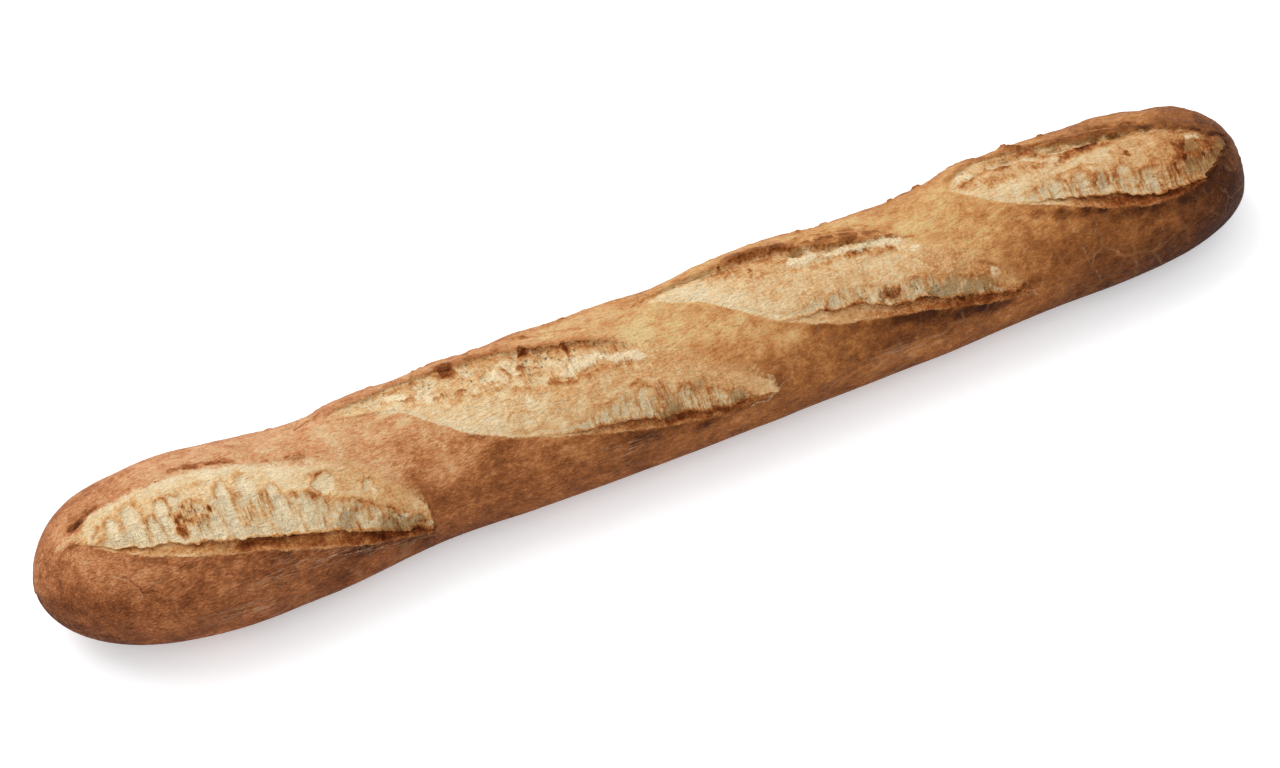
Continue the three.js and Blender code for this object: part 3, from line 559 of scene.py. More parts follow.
tip_rows = TIP_REACH * (np.arange(1, TIP_ROWS) / TIP_ROWS) ** 1.6
middle_rows = np.linspace(TIP_REACH, LENGTH - TIP_REACH, int((LENGTH - 2 * TIP_REACH) / ROW_STEP))
rows = np.concatenate([tip_rows, middle_rows, LENGTH - tip_rows[::-1]])
girth = 2 * math.pi * CROWN_RADIUS
top_columns = np.linspace(TOP_FROM, TOP_TO, int((TOP_TO - TOP_FROM) / COLUMN_STEP))
base_count = int((girth - TOP_TO + TOP_FROM) / BASE_STEP)
base_columns = np.linspace(TOP_TO, TOP_FROM + girth, base_count)[1:-1]
columns = np.concatenate([top_columns, base_columns])
columns = np.where(columns > girth / 2, columns - girth, columns)
s_grid, c_grid = np.meshgrid(rows, columns, indexing="ij")


# Places wander by this error, which keeps every outline uneven.
def wander(seed):
    """How far places wander, in millimetres: wide swings with narrow ones on them."""
    wide = rough_waves(s_grid / 4.5, c_grid / 4.5, seed)
    return 0.9 * wide + 0.40 * rough_waves(s_grid / 1.4, c_grid / 1.4, seed + 4)


s_bend, c_bend = wander(601), wander(611)

LOOKS = ["dough", "bake", "tan", "torn", "white", "grey", "foam", "pale", "scuff", "vein", "ridge"]
looks = {name: np.zeros_like(s_grid) for name in LOOKS}
FAR_FROM_DOUGH = -9.0
looks["dough"] += FAR_FROM_DOUGH
out = np.zeros_like(s_grid)
lean = np.zeros_like(s_grid)


def rows_between(low, high):
    """The rows of the loaf from low to high."""
    return slice(*np.searchsorted(rows, [low, high]))


def add(part, name, value):
    """Adds to a look. Brown darkens crust and open dough alike."""
    for look in ("bake", "tan") if name == "brown" else (name,):
        looks[look][part] += value


START_EASE, END_EASE = 0.12, 0.03
FULL_GAP = 5.0
VARYING = ["lip", "cut", "gap", "torn", "band", "depth", "fringe", "char", "tone", "burnt", "drop", "greyed"]


class Slash:
    """One slash, with the lines that bound its parts at every row that it crosses."""

    def __init__(self, number, lines):
        vars(self).update(lines)
        self.seed = 100 * number
        self.part = rows_between(self.start - 3, self.end + 3)
        self.s, self.c = s_grid[self.part, :1], c_grid[self.part]
        self.ds, self.dc = s_bend[self.part], c_bend[self.part]
        self.t = (self.s - self.start) / (self.end - self.start)
        for name in VARYING:
            setattr(self, name, along(lines[name], self.t))
        self.strength = smooth(self.t / START_EASE) * smooth((1 - self.t) / END_EASE)
        self.strong = np.sqrt(self.strength)
        self.drift = self.s + 1.3 * waves(self.s / 6, self.c / 8, self.seed + 20)

    def ripple(self, length, number):
        return ripple(self.s, length, self.seed + number)

    def rough(self, long, wide, number):
        return rough_waves(self.s / long, self.c / wide, self.seed + number)

    def strands(self, long, wide, number):
        """Waves that run across the slash with the pull of the dough."""
        return waves(self.drift / long, self.c / wide, self.seed + number)

    def draw_lines(self):
        """The far lip, the tear's inner edge, the torn zone's top, the near rim and the blade's cut."""
        ripple = self.ripple
        ragged = 0.7 * ripple(8.7, 1) + 0.5 * ripple(3.1, 2) + 0.35 * ripple(1.3, 3)
        self.lip = self.lip + self.strength * ragged
        self.cut = np.maximum(self.lip + 2, self.cut + 0.4 * self.strength * ripple(5.3, 4))
        flake = 1 - 2 * np.abs(ripple(3.4, 6))
        self.recess = self.strong * smooth(self.band / 3)
        uneven = 1.0 * ripple(6.1, 5) + 0.75 * flake * ripple(7.3, 7) + 0.55 * ripple(1.2, 8)
        self.rim = np.maximum(self.lip + 1.5, self.cut - self.band - 0.8 * self.recess + self.recess * uneven)
        self.lifted = self.strength * smooth((self.lip_end - self.t) / LIP_CLOSING)
        self.tear = self.lifted * smooth(self.gap / FULL_GAP)
        inner = self.lip + self.gap * (1 + 0.10 * ripple(5.9, 8)) + SOFT_EDGE * (1 - self.lifted)
        inner = inner + (0.6 * ripple(3.9, 9) + 0.4 * ripple(1.6, 9)) * self.lifted
        self.inner = np.minimum(inner, self.rim - 1)
        self.wide_flute = flutes(self.s, 4.6, self.seed + 10)
        self.fine_flute = flutes(self.s + 0.15 * self.c, 2.1, self.seed + 11)
        torn_top = self.rim - self.torn * (0.55 + 0.30 * self.wide_flute + 0.15 * self.fine_flute)
        self.torn_top = np.maximum(self.inner + 1, torn_top)
        self.above_rim = smooth((self.rim - 0.2 - self.c) / 0.9)

    def open_up(self):
        """The main form across the opening, from the far crust to the near crust."""
        lip, gap, inner, rim, cut = self.lip, self.gap, self.inner, self.rim, self.cut
        recess, drop = self.recess, self.drop
        floor = -self.depth * self.tear
        zero = 0 * self.s
        plump = self.plump * self.strength
        self.form = between(self.c, in_order([
            (lip - LIP_SHOULDER, zero),
            (lip - 0.4 * LIP_SHOULDER, 0.55 * self.ear * self.lifted),
            (lip - 0.5, self.ear * self.lifted),
            (lip, (self.ear - 0.35) * self.lifted),
            (lip + 0.5, 0.5 * floor),
            (lip + 1.2, floor),
            (lip + 0.35 * gap + 0.6, 0.90 * floor),
            (lip + 0.70 * gap, 0.45 * floor + 0.2 * plump),
            (inner, plump),
            (inner + 1.6, plump),
            ((inner + self.torn_top) / 2 + 0.8, plump + 0.2 * self.strength),
            (self.torn_top, 0.8 * plump),
            (rim - 1.4, 0.62 * plump * (1 - recess) - 0.2 * self.sag * recess),
            (rim, 0.55 * plump * (1 - recess) + 0.7 * recess),
            (rim + 0.7, 0.50 * plump * (1 - recess) - drop * recess),
            (rim + 0.55 * self.band, 0.48 * plump * (1 - recess) - 0.45 * drop * recess),
            (cut, 0.45 * plump * (1 - recess) + 0.5 * recess),
            (cut + CUT_SHOULDER, zero),
        ]))
        self.slip = between(self.c, in_order([
            (lip - 4, zero), (lip, 0.8 * self.tear), (lip + 1.0, -0.3 * self.tear), (lip + 3, zero),
            (rim - 3, zero), (rim, 0.9 * recess), (rim + 0.7, -0.4 * recess), (rim + 3, zero),
        ]))

    def tear_fibres(self):
        """Torn fibres over the near rim, drawn out across the slash."""
        s, c, ds, dc = self.s, self.c, self.ds, self.dc
        in_torn = smooth((c + 1.2 * dc - self.torn_top) / 2.4) * self.above_rim
        self.in_torn = in_torn * self.strong * smooth((self.torn - 2.2) / 3)
        fibres = 0.20 * self.strands(1.0, 8, 21) + 0.34 * self.strands(2.2, 9, 22)
        fibres = fibres + 0.22 * self.rough(1.9, 2.6, 18)
        folds = 1 - np.abs(rough_waves((s + 1.2 * ds) / 3.6, (c + dc) / 8.0, self.seed + 17)) / 0.35
        self.folds = np.clip(folds, 0, 1)
        fibres = fibres + 0.35 * self.folds
        sag = self.sag * (0.45 + 0.35 * self.wide_flute + 0.2 * self.fine_flute)
        sag = sag * (0.8 + 0.2 * waves(s / 9, c / 9, self.seed + 23))
        self.form += self.in_torn * (fibres - sag)

    def hollow_out(self):
        """Arched hollows in the torn zone, with a toasted edge and paler crumb inside."""
        self.bowls, self.arches = 0 * self.c, 0 * self.c
        for place, crown, half, deep in self.hollows:
            x = (self.s + 1.2 * self.ds - place) / half
            y = (self.c + 1.2 * self.dc - crown) / half
            q = np.where(y < 1, np.hypot(x, 1 - y), np.abs(x) + 0 * y)
            bowl = np.clip(1 - q**2, 0, 1) * self.above_rim * self.strong
            self.form -= deep * bowl
            arch = smooth((q - 0.60) / 0.45) * smooth((1.85 - q) / 0.85) * self.above_rim * self.strong
            arch = arch * smooth((y + 0.8) * 2) * smooth((2.8 - y) / 2.2)
            self.form += 0.30 * arch
            self.arches = np.maximum(self.arches, arch)
            self.bowls = np.maximum(self.bowls, bowl)

    def fill_tear(self):
        """The tear under the far lip: bubbles and curtains of crumb, with the hooded far side of its big
        cells and its small pits marked for painted shade.
        """
        s, c, ds, dc = self.s, self.c, self.ds, self.dc
        near_side = smooth((self.inner - 0.2 - c + 1.2 * dc) / 2.4)
        self.in_gap = smooth((c - self.lip + 0.3) / 0.5) * near_side * self.tear
        big, big_mark, big_below = cells((s + 1.5 * ds) / 6.5, (c + 1.5 * dc) / 6.0, self.seed + 30)
        small, small_mark, _ = cells(s / 1.9, c / 1.9, self.seed + 33)
        self.bubble = smooth(1.25 - 1.6 * big) * (big_mark > 0.30)
        # The far side of each big cell, under its hood of crumb, gets painted shade.
        self.shaded_hood = smooth(1.25 - 1.3 * big) * smooth(-0.1 - 2.4 * big_below) * (big_mark > 0.30)
        # Small pits, sunk into the foam, get painted shade.
        self.pit = smooth(1.1 - 1.9 * small) * (small_mark > 0.45)
        self.form += self.in_gap * (
            -0.9 * self.bubble - 0.4 * self.shaded_hood - 0.5 * self.pit + 0.40 + 0.14 * self.strands(1.5, 5, 36))

    def wrinkle(self):
        """Soft lumps and wrinkles in the bulged dough, and creases in the crust along lip and cut."""
        s, from_lip, from_cut = self.s, self.c - self.lip, self.c - self.cut
        in_middle = smooth((self.c - self.inner) / 1.5) * smooth((self.torn_top - self.c) / 1.5)
        in_middle = in_middle * self.strength
        self.form += in_middle * (
            0.34 * self.rough(7, 6, 40) + 0.10 * self.strands(1.8, 5, 41) + 0.12 * self.rough(2.2, 2.0, 42))
        crease = waves(s / 22, from_lip / 2.1, self.seed + 45)
        crease = crease + 0.5 * waves(s / 9, from_lip / 1.1, self.seed + 46)
        self.form += 0.30 * crease * bump_at(from_lip + 5, 6.5) * self.lifted
        crisp = waves(s / 2.4, from_cut / 1.6, self.seed + 47)
        self.form += 0.16 * crisp * bump_at(from_cut - 3, 4) * self.strength

    def toast_torn(self):
        """How brown the torn zone is: cream, toasted along every raised edge."""
        s, c, ds, dc = self.s, self.c, self.ds, self.dc
        self.stain = rough_waves((s + ds) / 4.2, (c + dc) / 5.5, self.seed + 60)
        self.streak = self.strands(1.9, 11, 61) + 0.6 * self.strands(0.9, 7, 62)
        self.tan = self.tone + 0.10 * self.stain
        self.tan += self.toasted * self.arches * smooth(0.45 + 1.1 * self.rough(2.6, 3.4, 26))
        patchy = smooth(0.5 + 1.2 * self.rough(9, 6, 28))
        far_from_rim = 1 - 0.6 * smooth((c - self.rim + 5) / 5)
        self.tan += self.in_torn * far_from_rim * self.toasted * 0.8 * smooth(self.folds) * patchy
        self.warm = smooth(0.35 + 1.3 * self.rough(3.0, 4.4, 71))
        self.tan += self.in_torn * self.toasted * (0.7 * self.warm + 0.5 * self.streak)
        self.tan -= 0.33 * self.crumb * self.bowls
        crest = bump_at(c + dc - self.torn_top - 0.3, 2.6) * self.strong * smooth(self.torn / 4)
        self.tan += self.toasted * crest * smooth(0.45 + self.rough(3.1, 3, 24))
        self.tan += self.in_torn * (0.09 * self.streak + 0.09 * self.rough(2.4, 3.0, 29) - 0.08)

    def toast_and_shade_edges(self):
        """How brown the tear, the rim and the strip under it are, which is burnt, with painted shade under
        the far lip, in the tear's hooded cells and pits, and just under the rim.
        """
        c, dc, band = self.c, self.dc, self.band
        inner_edge = 0.16 * bump_at(c + dc - self.inner, 2.2) * self.tear
        self.tan += inner_edge * smooth(0.5 + self.ripple(3.3, 51))
        rim_edge = 0.22 * bump_at(c - self.rim + 0.5, 1.4) * self.recess
        self.tan += rim_edge * smooth(0.5 + self.rough(2.4, 2, 27))
        # Just under the far lip the tear is browned, partly charred fibres and partly painted shade; its
        # hooded cells and small pits get painted shade too.
        from_lip = (c - self.lip) / self.fringe
        edge = smooth(1.3 - from_lip + 0.30 * self.strands(1.4, 12, 50) + 0.2 * self.stain)
        self.tan += self.in_gap * (0.02 + self.char * edge - 0.12 * self.bubble + 0.26 * self.shaded_hood
                                   + 0.14 * self.pit + 0.03 * self.streak)
        full_band = smooth(band / 1.5)
        in_band = smooth((c - self.rim - 0.1) / 0.4) * smooth((self.cut + 0.3 - c) / 0.7)
        in_band = in_band * self.strong * full_band
        # Painted shade darkens the strip just under the overhanging rim.
        shade_under_rim = smooth(1.1 - (c - self.rim) / (0.30 * band + 0.8 + 0.7 * self.rough(4.3, 2, 52)))
        self.tan += in_band * (self.burnt - self.tone + 0.14 * self.rough(6, 1.6, 63) + 0.26 * shade_under_rim)
        near_cut = bump_at(c - self.cut + 0.4, 1.0) * self.strong * full_band
        self.tan -= 0.24 * (near_cut * smooth(0.7 + self.ripple(3.7, 55)))

    def give_open_looks(self):
        """Where the opening ends and crust begins, sharp along the blade's cut, fading out to the right."""
        part, t = self.part, self.t
        far_soft = 1.2 + 1.0 * (1 - self.lifted) + 5 * smooth((t - self.fade) / 0.2) * (1 - self.lifted)
        near_soft = 1 + 1.5 * smooth((t - 0.9) / 0.08)
        inside = np.minimum((self.c - self.lip) / far_soft, (self.cut - self.c) / near_soft)
        inside = inside + 4 * (self.strength - 1)
        looks["dough"][part] = np.maximum(looks["dough"][part], inside)
        looks["torn"][part] = np.maximum(looks["torn"][part], np.maximum(self.in_torn, 0.35 * self.in_gap))
        shown = smooth(inside + 1)
        looks["tan"][part] = looks["tan"][part] * (1 - shown) + self.tan * shown

    def give_crumb_looks(self):
        """White and grey crumb, grey painted shade under hooded cells, foam whose pores get painted
        shade, and crust that seared beside the cut and the lip.
        """
        part, c, rim, in_gap = self.part, self.c, self.rim, self.in_gap
        whitened = self.bowls + 0.35 * self.in_torn * smooth(0.4 + 1.5 * self.stain)
        add(part, "white", self.crumb * whitened * (1 - 0.7 * self.warm))
        depth_in = (c - self.lip) / self.gap
        foam_white = 0.45 * self.bubble * (1 - self.shaded_hood) + 0.40 * bump_at(depth_in - 0.85, 0.35)
        add(part, "white", (0.28 + self.crumb) * in_gap * foam_white)
        low = smooth((c - rim + 0.6 * self.torn) / np.maximum(self.torn, 3))
        low = low * smooth(0.4 + 1.2 * self.rough(5, 4, 65))
        add(part, "grey", self.in_torn * self.greyed * (0.55 + 0.45 * low))
        # Grey painted shade under the hooded side of each big cell.
        add(part, "grey", 0.30 * in_gap * self.shaded_hood)
        add(part, "foam", 0.30 * self.in_torn + 0.55 * in_gap)
        from_cut = c - self.cut
        seared = smooth((from_cut + 0.2) / 0.7) * smooth(1 - from_cut / (8 + 4 * self.ripple(11, 56)))
        seared = seared * self.recess * smooth(0.55 + 0.7 * self.rough(8, 4, 53))
        by_lip = 0.16 * bump_at(c - self.lip + 1.4, 3) * self.lifted * smooth(0.7 + self.stain)
        add(part, "bake", 0.24 * seared + by_lip)


def open_slash(number, lines):
    """Shapes one slash and gives its parts their looks."""
    slash = Slash(number, lines)
    slash.draw_lines()
    slash.open_up()
    slash.tear_fibres()
    slash.hollow_out()
    slash.fill_tear()
    slash.wrinkle()
    slash.toast_torn()
    slash.toast_and_shade_edges()
    slash.give_open_looks()
    slash.give_crumb_looks()
    out[slash.part] += slash.form
    lean[slash.part] += slash.slip


def along_path(s, c, path):
    """Distance to a path of straight runs."""
    nearest = np.full(np.broadcast(s, c).shape, 99.0)
    for (s0, c0), (s1, c1) in zip(path[:-1], path[1:]):
        ds, dc = s1 - s0, c1 - c0
        u = np.clip(((s - s0) * ds + (c - c0) * dc) / (ds * ds + dc * dc), 0, 1)
        nearest = np.minimum(nearest, np.hypot(s - s0 - u * ds, c - c0 - u * dc))
    return nearest


OUTLINE_SEED, HOOD_SEED, PATCH_SEED, STROKE_SEED = 500, 700, 900, 910


def leave_mark(number, kind, s0, c0, long, wide):
    """One scab, blister, bubble or patch."""
    made = KINDS[kind]
    reach = (1.8 + made["soft"]) * max(long, 1.2)
    part = rows_between(s0 - reach, s0 + reach)
    bend = np.clip(min(long, wide) / 3.0, 0.3, 1.8)
    s, c = s_grid[part] + bend * s_bend[part], c_grid[part] + bend * c_bend[part]
    fine = max(min(long, wide) / 1.4, 0.8)
    q = np.hypot((s - s0) / long, (c - c0) / wide)
    q = q + 0.50 * made["ragged"] * rough_waves(s / fine, c / fine, OUTLINE_SEED + number)
    bowl = np.sqrt(np.clip(1 - q**2, 0, 1))
    if made["height"] < 0:
        out[part] += made["height"] * smooth(1.6 * bowl) * min(1, wide / 2)
    else:
        out[part] += made["height"] * smooth((1.1 - q) / 0.6)
    if "hood_shade" in made:
        # The upper left edge of an opened bubble overhangs a little; its browning there is partly toast and
        # partly painted shade.
        shaded_hood = bump_at(q - 1.0, 0.50) * smooth(0.5 - 0.9 * (c - c0) / wide - 0.35 * (s - s0) / long)
        patchy = smooth(0.8 + rough_waves(s / 1.7, c / 1.7, HOOD_SEED + number))
        add(part, "tan", made["hood_shade"] * shaded_hood * patchy)
        out[part] += 0.40 * shaded_hood
    mask = smooth((1 + made["soft"] - q) / (2 * made["soft"]))
    mask = mask * (0.78 + 0.30 * rough_waves(s / 1.5, c / 1.5, PATCH_SEED + number))
    for name in LOOKS + ["brown"]:
        if name in made:
            add(part, name, made[name] * mask)


def draw_stroke(look, strength, half, height, path):
    """One crease, crack, strand or ridge along its path."""
    ends = [place for place, _ in path]
    part = rows_between(min(ends) - 2 * half, max(ends) + 2 * half)
    bend = min(1.0, 0.35 + 0.25 * half)
    s, c = s_grid[part] + bend * s_bend[part], c_grid[part] + bend * c_bend[part]
    away = along_path(s, c, path) / (half * (1 + 0.4 * waves(s / 3, c / 3, STROKE_SEED)))
    mask = smooth((1.7 - away) / 1.4) * smooth(0.75 + 0.8 * rough_waves(s / 3.2, c / 3.2, STROKE_SEED + 1))
    add(part, look, strength * mask)
    out[part] += height * mask


BAKE_SEED = 61


def how_baked(s, c):
    """How dark the crust has baked: 0 pale gold, 1 deep brown."""
    side = 0.38 * smooth((c - 6) / 36) + 0.14 * smooth((c - 40) / 22) + 0.22 * smooth((-c - 12) / 26)
    right = smooth((s - 390) / 90)
    left = smooth((60 - s) / 55)
    bake = 0.22 + side + 0.28 * right * smooth((c + 45) / 60) + 0.14 * right + 0.20 * left
    bake += 0.06 * bump_at(s - 150, 50) * smooth((c + 5) / 15)
    bake += 0.15 * smooth((s - 472) / 40)
    return bake + 0.05 * waves(s / 26, c / 17, BAKE_SEED) + 0.05 * waves(s / 9, c / 8, BAKE_SEED + 1)


looks["bake"] += how_baked(s_grid, c_grid)
BROWNED_THROUGH = 0.45
looks["tan"] += BROWNED_THROUGH
for number, lines in enumerate(SLASHES, 1):
    open_slash(number, lines)
for number, mark in enumerate(MARKS):
    leave_mark(number, *mark)
for stroke in STROKES:
    draw_stroke(*stroke)

# The slow lumps of a hand-shaped loaf, and blisters along its back.
LUMP_SEED = 80
out += 0.35 * np.sin(s_grid / 11.3 + 0.7) * np.cos(c_grid / 13 + s_grid / 37)
out += 0.25 * np.sin(s_grid / 5.9 + c_grid / 9.1 + 1.3)
out += 0.20 * rough_waves(s_grid / 5, c_grid / 3.5, LUMP_SEED)
wrinkled_there = smooth(0.6 + waves(s_grid / 30, c_grid / 20, LUMP_SEED + 4))
out += 0.12 * rough_waves(s_grid / 8, c_grid / 1.6, LUMP_SEED + 3) * wrinkled_there
back = bump_at(c_grid + 30, 22) * smooth((s_grid - 60) / 60)
blisters = smooth((rough_waves(s_grid / 7, c_grid / 5, LUMP_SEED + 7) - 0.35) / 0.4)
out += back * (0.55 * waves(s_grid / 13, c_grid / 9, LUMP_SEED + 6) + 0.45 * blisters)


def blurred(field, reach):
    """The field with its fine detail smoothed away over reach rows and columns each way."""
    for axis in (0, 1):
        first, last = np.take(field, [0] * reach, axis), np.take(field, [-1] * reach, axis)
        padded = np.concatenate([first, field, last], axis)
        total = np.cumsum(padded, axis)
        total = np.concatenate([0 * np.take(total, [0], axis), total], axis)
        count = 2 * reach + 1
        length = field.shape[axis]
        high = np.take(total, range(count, count + length), axis)
        field = (high - np.take(total, range(length), axis)) / count
    return field


def raised(reach):
    """How far each place stands out from what lies round it: it browns first, and hollows stay pale."""
    return out - blurred(blurred(out, reach), reach)


looks["ridge"] = np.clip(1.6 * raised(2) + 0.7 * raised(6), -1, 1)

# The relief fades out towards the underside, which lay flat on the tray.
UNDERSIDE_FROM, UNDERSIDE_FADE = 0.55, 0.4
upper = smooth((np.cos(c_grid / CROWN_RADIUS) + UNDERSIDE_FROM) / UNDERSIDE_FADE)
outward, round_it = loaf_directions(s_grid, c_grid)
points = plain_loaf(s_grid, c_grid) + (out * upper)[..., None] * outward
points = points + (lean * upper)[..., None] * round_it

# The mesh is made fine and then thinned, which takes facets from the smooth crust and leaves them in
# the torn dough.
MOST_FACES = 197_000
row_count, column_count = s_grid.shape
corner = np.arange(row_count * column_count).reshape(row_count, column_count)
beside = np.roll(corner, -1, axis=1)
quads = np.stack([corner[:-1], beside[:-1], beside[1:], corner[1:]], -1).reshape(-1, 4)
left_tip, right_tip = row_count * column_count, row_count * column_count + 1
left_fan = np.stack([beside[0], corner[0], np.full(column_count, left_tip)], -1)
right_fan = np.stack([corner[-1], beside[-1], np.full(column_count, right_tip)], -1)
fans = np.concatenate([left_fan, right_fan])
tips = plain_loaf(np.array([0.0, LENGTH]), np.array([0.0, 0.0]))
vertices = np.concatenate([points.reshape(-1, 3), tips]) * MM

dense = bpy.data.meshes.new("loaf_dense")
dense.vertices.add(len(vertices))
dense.vertices.foreach_set("co", vertices.astype(np.float32).ravel())
dense.loops.add(quads.size + fans.size)
dense.loops.foreach_set("vertex_index", np.concatenate([quads.ravel(), fans.ravel()]).astype(np.int32))
dense.polygons.add(len(quads) + len(fans))
starts = np.concatenate([4 * np.arange(len(quads)), quads.size + 3 * np.arange(len(fans))])
dense.polygons.foreach_set("loop_start", starts.astype(np.int32))
dense.update(calc_edges=True)
dense.validate()

tip_looks = {"dough": FAR_FROM_DOUGH, "bake": 0.6}
for name, value in looks.items():
    layer = dense.attributes.new(name, "FLOAT", "POINT")
    tail = np.full(2, tip_looks.get(name, 0.0))
    layer.data.foreach_set("value", np.concatenate([value.ravel(), tail]).astype(np.float32))


def vector_layer(name, x, y, z, at_tips):
    """Three numbers kept at every point of the mesh."""
    layer = dense.attributes.new(name, "FLOAT_VECTOR", "POINT")
    values = np.concatenate([np.stack([x, y, z], -1).reshape(-1, 3), at_tips])
    layer.data.foreach_set("vector", values.astype(np.float32).ravel())


vector_layer("place", s_grid, c_grid, 0 * s_grid, [[0, 0, 0], [LENGTH, 0, 0]])
angle = c_grid / CROWN_RADIUS
vector_layer("turn", np.cos(angle), np.sin(angle), 0 * angle, [[0, 0, 0], [0, 0, 0]])

loaf = bpy.data.objects.new("loaf_crust", dense)
bpy.context.collection.objects.link(loaf)
thinning = loaf.modifiers.new("thinning", "DECIMATE")
thinning.ratio = MOST_FACES / (2 * len(quads) + len(fans))
thinned = bpy.data.meshes.new_from_object(loaf.evaluated_get(bpy.context.evaluated_depsgraph_get()))
loaf.modifiers.remove(thinning)
loaf.data = thinned
thinned.name = "loaf_crust"
bpy.data.meshes.remove(dense)
thinned.shade_smooth()


# The loaf's finish
# Crust: dough sugars browned in the oven, pale gold where it was stretched late and deep brown on the
# sides and tips, satin, with fine grain, wrinkles and hairline cracks. In the slashes the newer skin is
# cream, and the torn crumb paler still, toasted orange along every raised edge. Pores, holes, hooded
# cells and the places just under lips and rims are darkened with painted shade.
LIT_BY = 1.45
SCALE_END = 1.3
NOISE_LOW, NOISE_HIGH = 0.27, 0.73
PLATE_SCALE = 520.0


def colour(red, green, blue):
    """A colour as it looks under the studio light, 0 to 255, made ready for the shaders."""
    def straight(v):
        v /= 255
        return (v / 12.92 if v <= 0.04045 else ((v + 0.055) / 1.055) ** 2.4) / LIT_BY
    return (straight(red), straight(green), straight(blue), 1.0)


class Finish:
    """A material whose pattern is built up step by step."""

    def __init__(self, name):
        self.material = bpy.data.materials.new(name)
        self.material.use_nodes = True
        self.tree = self.material.node_tree
        self.surface = self.tree.nodes["Principled BSDF"]
        self.made = 0

    def node(self, kind, inputs, **settings):
        made = self.tree.nodes.new(kind)
        made.location = (180 * (self.made % 12) - 2600, -260 * (self.made // 12))
        self.made += 1
        for name, value in settings.items():
            setattr(made, name, value)
        for name, value in inputs.items():
            self.put(value, made.inputs[name])
        return made

    def put(self, value, socket):
        """Links a socket to another, or sets its value."""
        if isinstance(value, bpy.types.NodeSocket):
            self.tree.links.new(value, socket)
        else:
            socket.default_value = value

    def attribute(self, name, output="Fac"):
        return self.node("ShaderNodeAttribute", {}, attribute_name=name).outputs[output]

    def sum(self, a, b, scale=1.0):
        """a + b x scale."""
        return self.node("ShaderNodeMath", {0: b, 1: scale, 2: a}, operation="MULTIPLY_ADD").outputs[0]

    def vary(self, a, noise, scale):
        """a with noise about 0.5 added to it, times scale."""
        return self.sum(self.sum(a, noise, scale), 0.5, -scale)

    def vary_by(self, a, *noises):
        """a with each noise added in turn, given with how much of it."""
        for noise, scale in noises:
            a = self.vary(a, noise, scale)
        return a

    def sum_up(self, a, *others):
        """a with each of the others added in turn, given with its scale."""
        for other, scale in others:
            a = self.sum(a, other, scale)
        return a

    def times(self, a, b):
        return self.node("ShaderNodeMath", {0: a, 1: b}, operation="MULTIPLY").outputs[0]

    def ease(self, value, low, high):
        """0 at low, 1 at high, eased between; low may be above high."""
        turned = low > high
        made = self.node(
            "ShaderNodeMapRange",
            {"Value": value, "From Min": min(low, high), "From Max": max(low, high),
             "To Min": 1.0 if turned else 0.0, "To Max": 0.0 if turned else 1.0},
            interpolation_type="SMOOTHSTEP",
        )
        return made.outputs["Result"]

    def mix(self, amount, a, b, way="MIX"):
        made = self.tree.nodes.new("ShaderNodeMix")
        made.data_type = "RGBA"
        made.blend_type = way
        for socket, value in zip((made.inputs[0], made.inputs[6], made.inputs[7]), (amount, a, b)):
            self.put(value, socket)
        return made.outputs[2]

    def tinge(self, tint, where, share, seen):
        """The tint with a share of a colour mixed in."""
        return self.mix(self.times(where, share), tint, colour(*seen))

    def ramp(self, value, stops):
        made = self.node("ShaderNodeValToRGB", {"Fac": value})
        marks = made.color_ramp.elements
        marks[0].position, marks[0].color = stops[0]
        marks[1].position, marks[1].color = stops[-1]
        for position, tint in stops[1:-1]:
            marks.new(position).color = tint
        return made.outputs["Color"]

    def browned(self, value, *stops):
        """The colour at a value on the browning scale, given as that value and the colour seen there."""
        stops = [(place / SCALE_END, colour(*seen)) for place, seen in stops]
        return self.ramp(self.times(value, 1 / SCALE_END), stops)

    def stretched(self, vector, scale, turn=0.0):
        """The vector scaled, and turned about the upright axis."""
        inputs = {"Vector": vector, "Scale": scale, "Rotation": (0, 0, turn)}
        return self.node("ShaderNodeMapping", inputs).outputs[0]

    def bent(self, vector, scale, detail, reach):
        """The vector pushed about by noise."""
        push = self.node("ShaderNodeTexNoise", {"Vector": vector, "Scale": scale, "Detail": detail})
        reach = (reach, reach, reach)
        return self.node("ShaderNodeVectorMath", {0: push.outputs["Color"], 1: reach, 2: vector},
                         operation="MULTIPLY_ADD").outputs[0]

    def cells(self, vector, scale, **settings):
        inputs = {"Vector": vector, "Scale": scale, "Randomness": 1.0}
        return self.node("ShaderNodeTexVoronoi", inputs, **settings)

    def cell_edges(self, vector, scale):
        return self.cells(vector, scale, feature="DISTANCE_TO_EDGE").outputs["Distance"]

    def grain(self, vector, size, detail=2.0, rough=0.55, twist=0.0):
        """Uneven noise, 0 to 1, with features about size across, in the vector's own unit."""
        made = self.node("ShaderNodeTexNoise", {
            "Vector": vector, "Scale": 1 / size, "Detail": detail, "Roughness": rough, "Distortion": twist})
        spread = {"Value": made.outputs["Fac"], "From Min": NOISE_LOW, "From Max": NOISE_HIGH}
        return self.node("ShaderNodeMapRange", spread).outputs["Result"]


bread = Finish("baked_bread")
here = bread.node("ShaderNodeTexCoord", {}).outputs["Object"]
on_loaf = bread.attribute("place", "Vector")
look = {name: bread.attribute(name) for name in LOOKS}

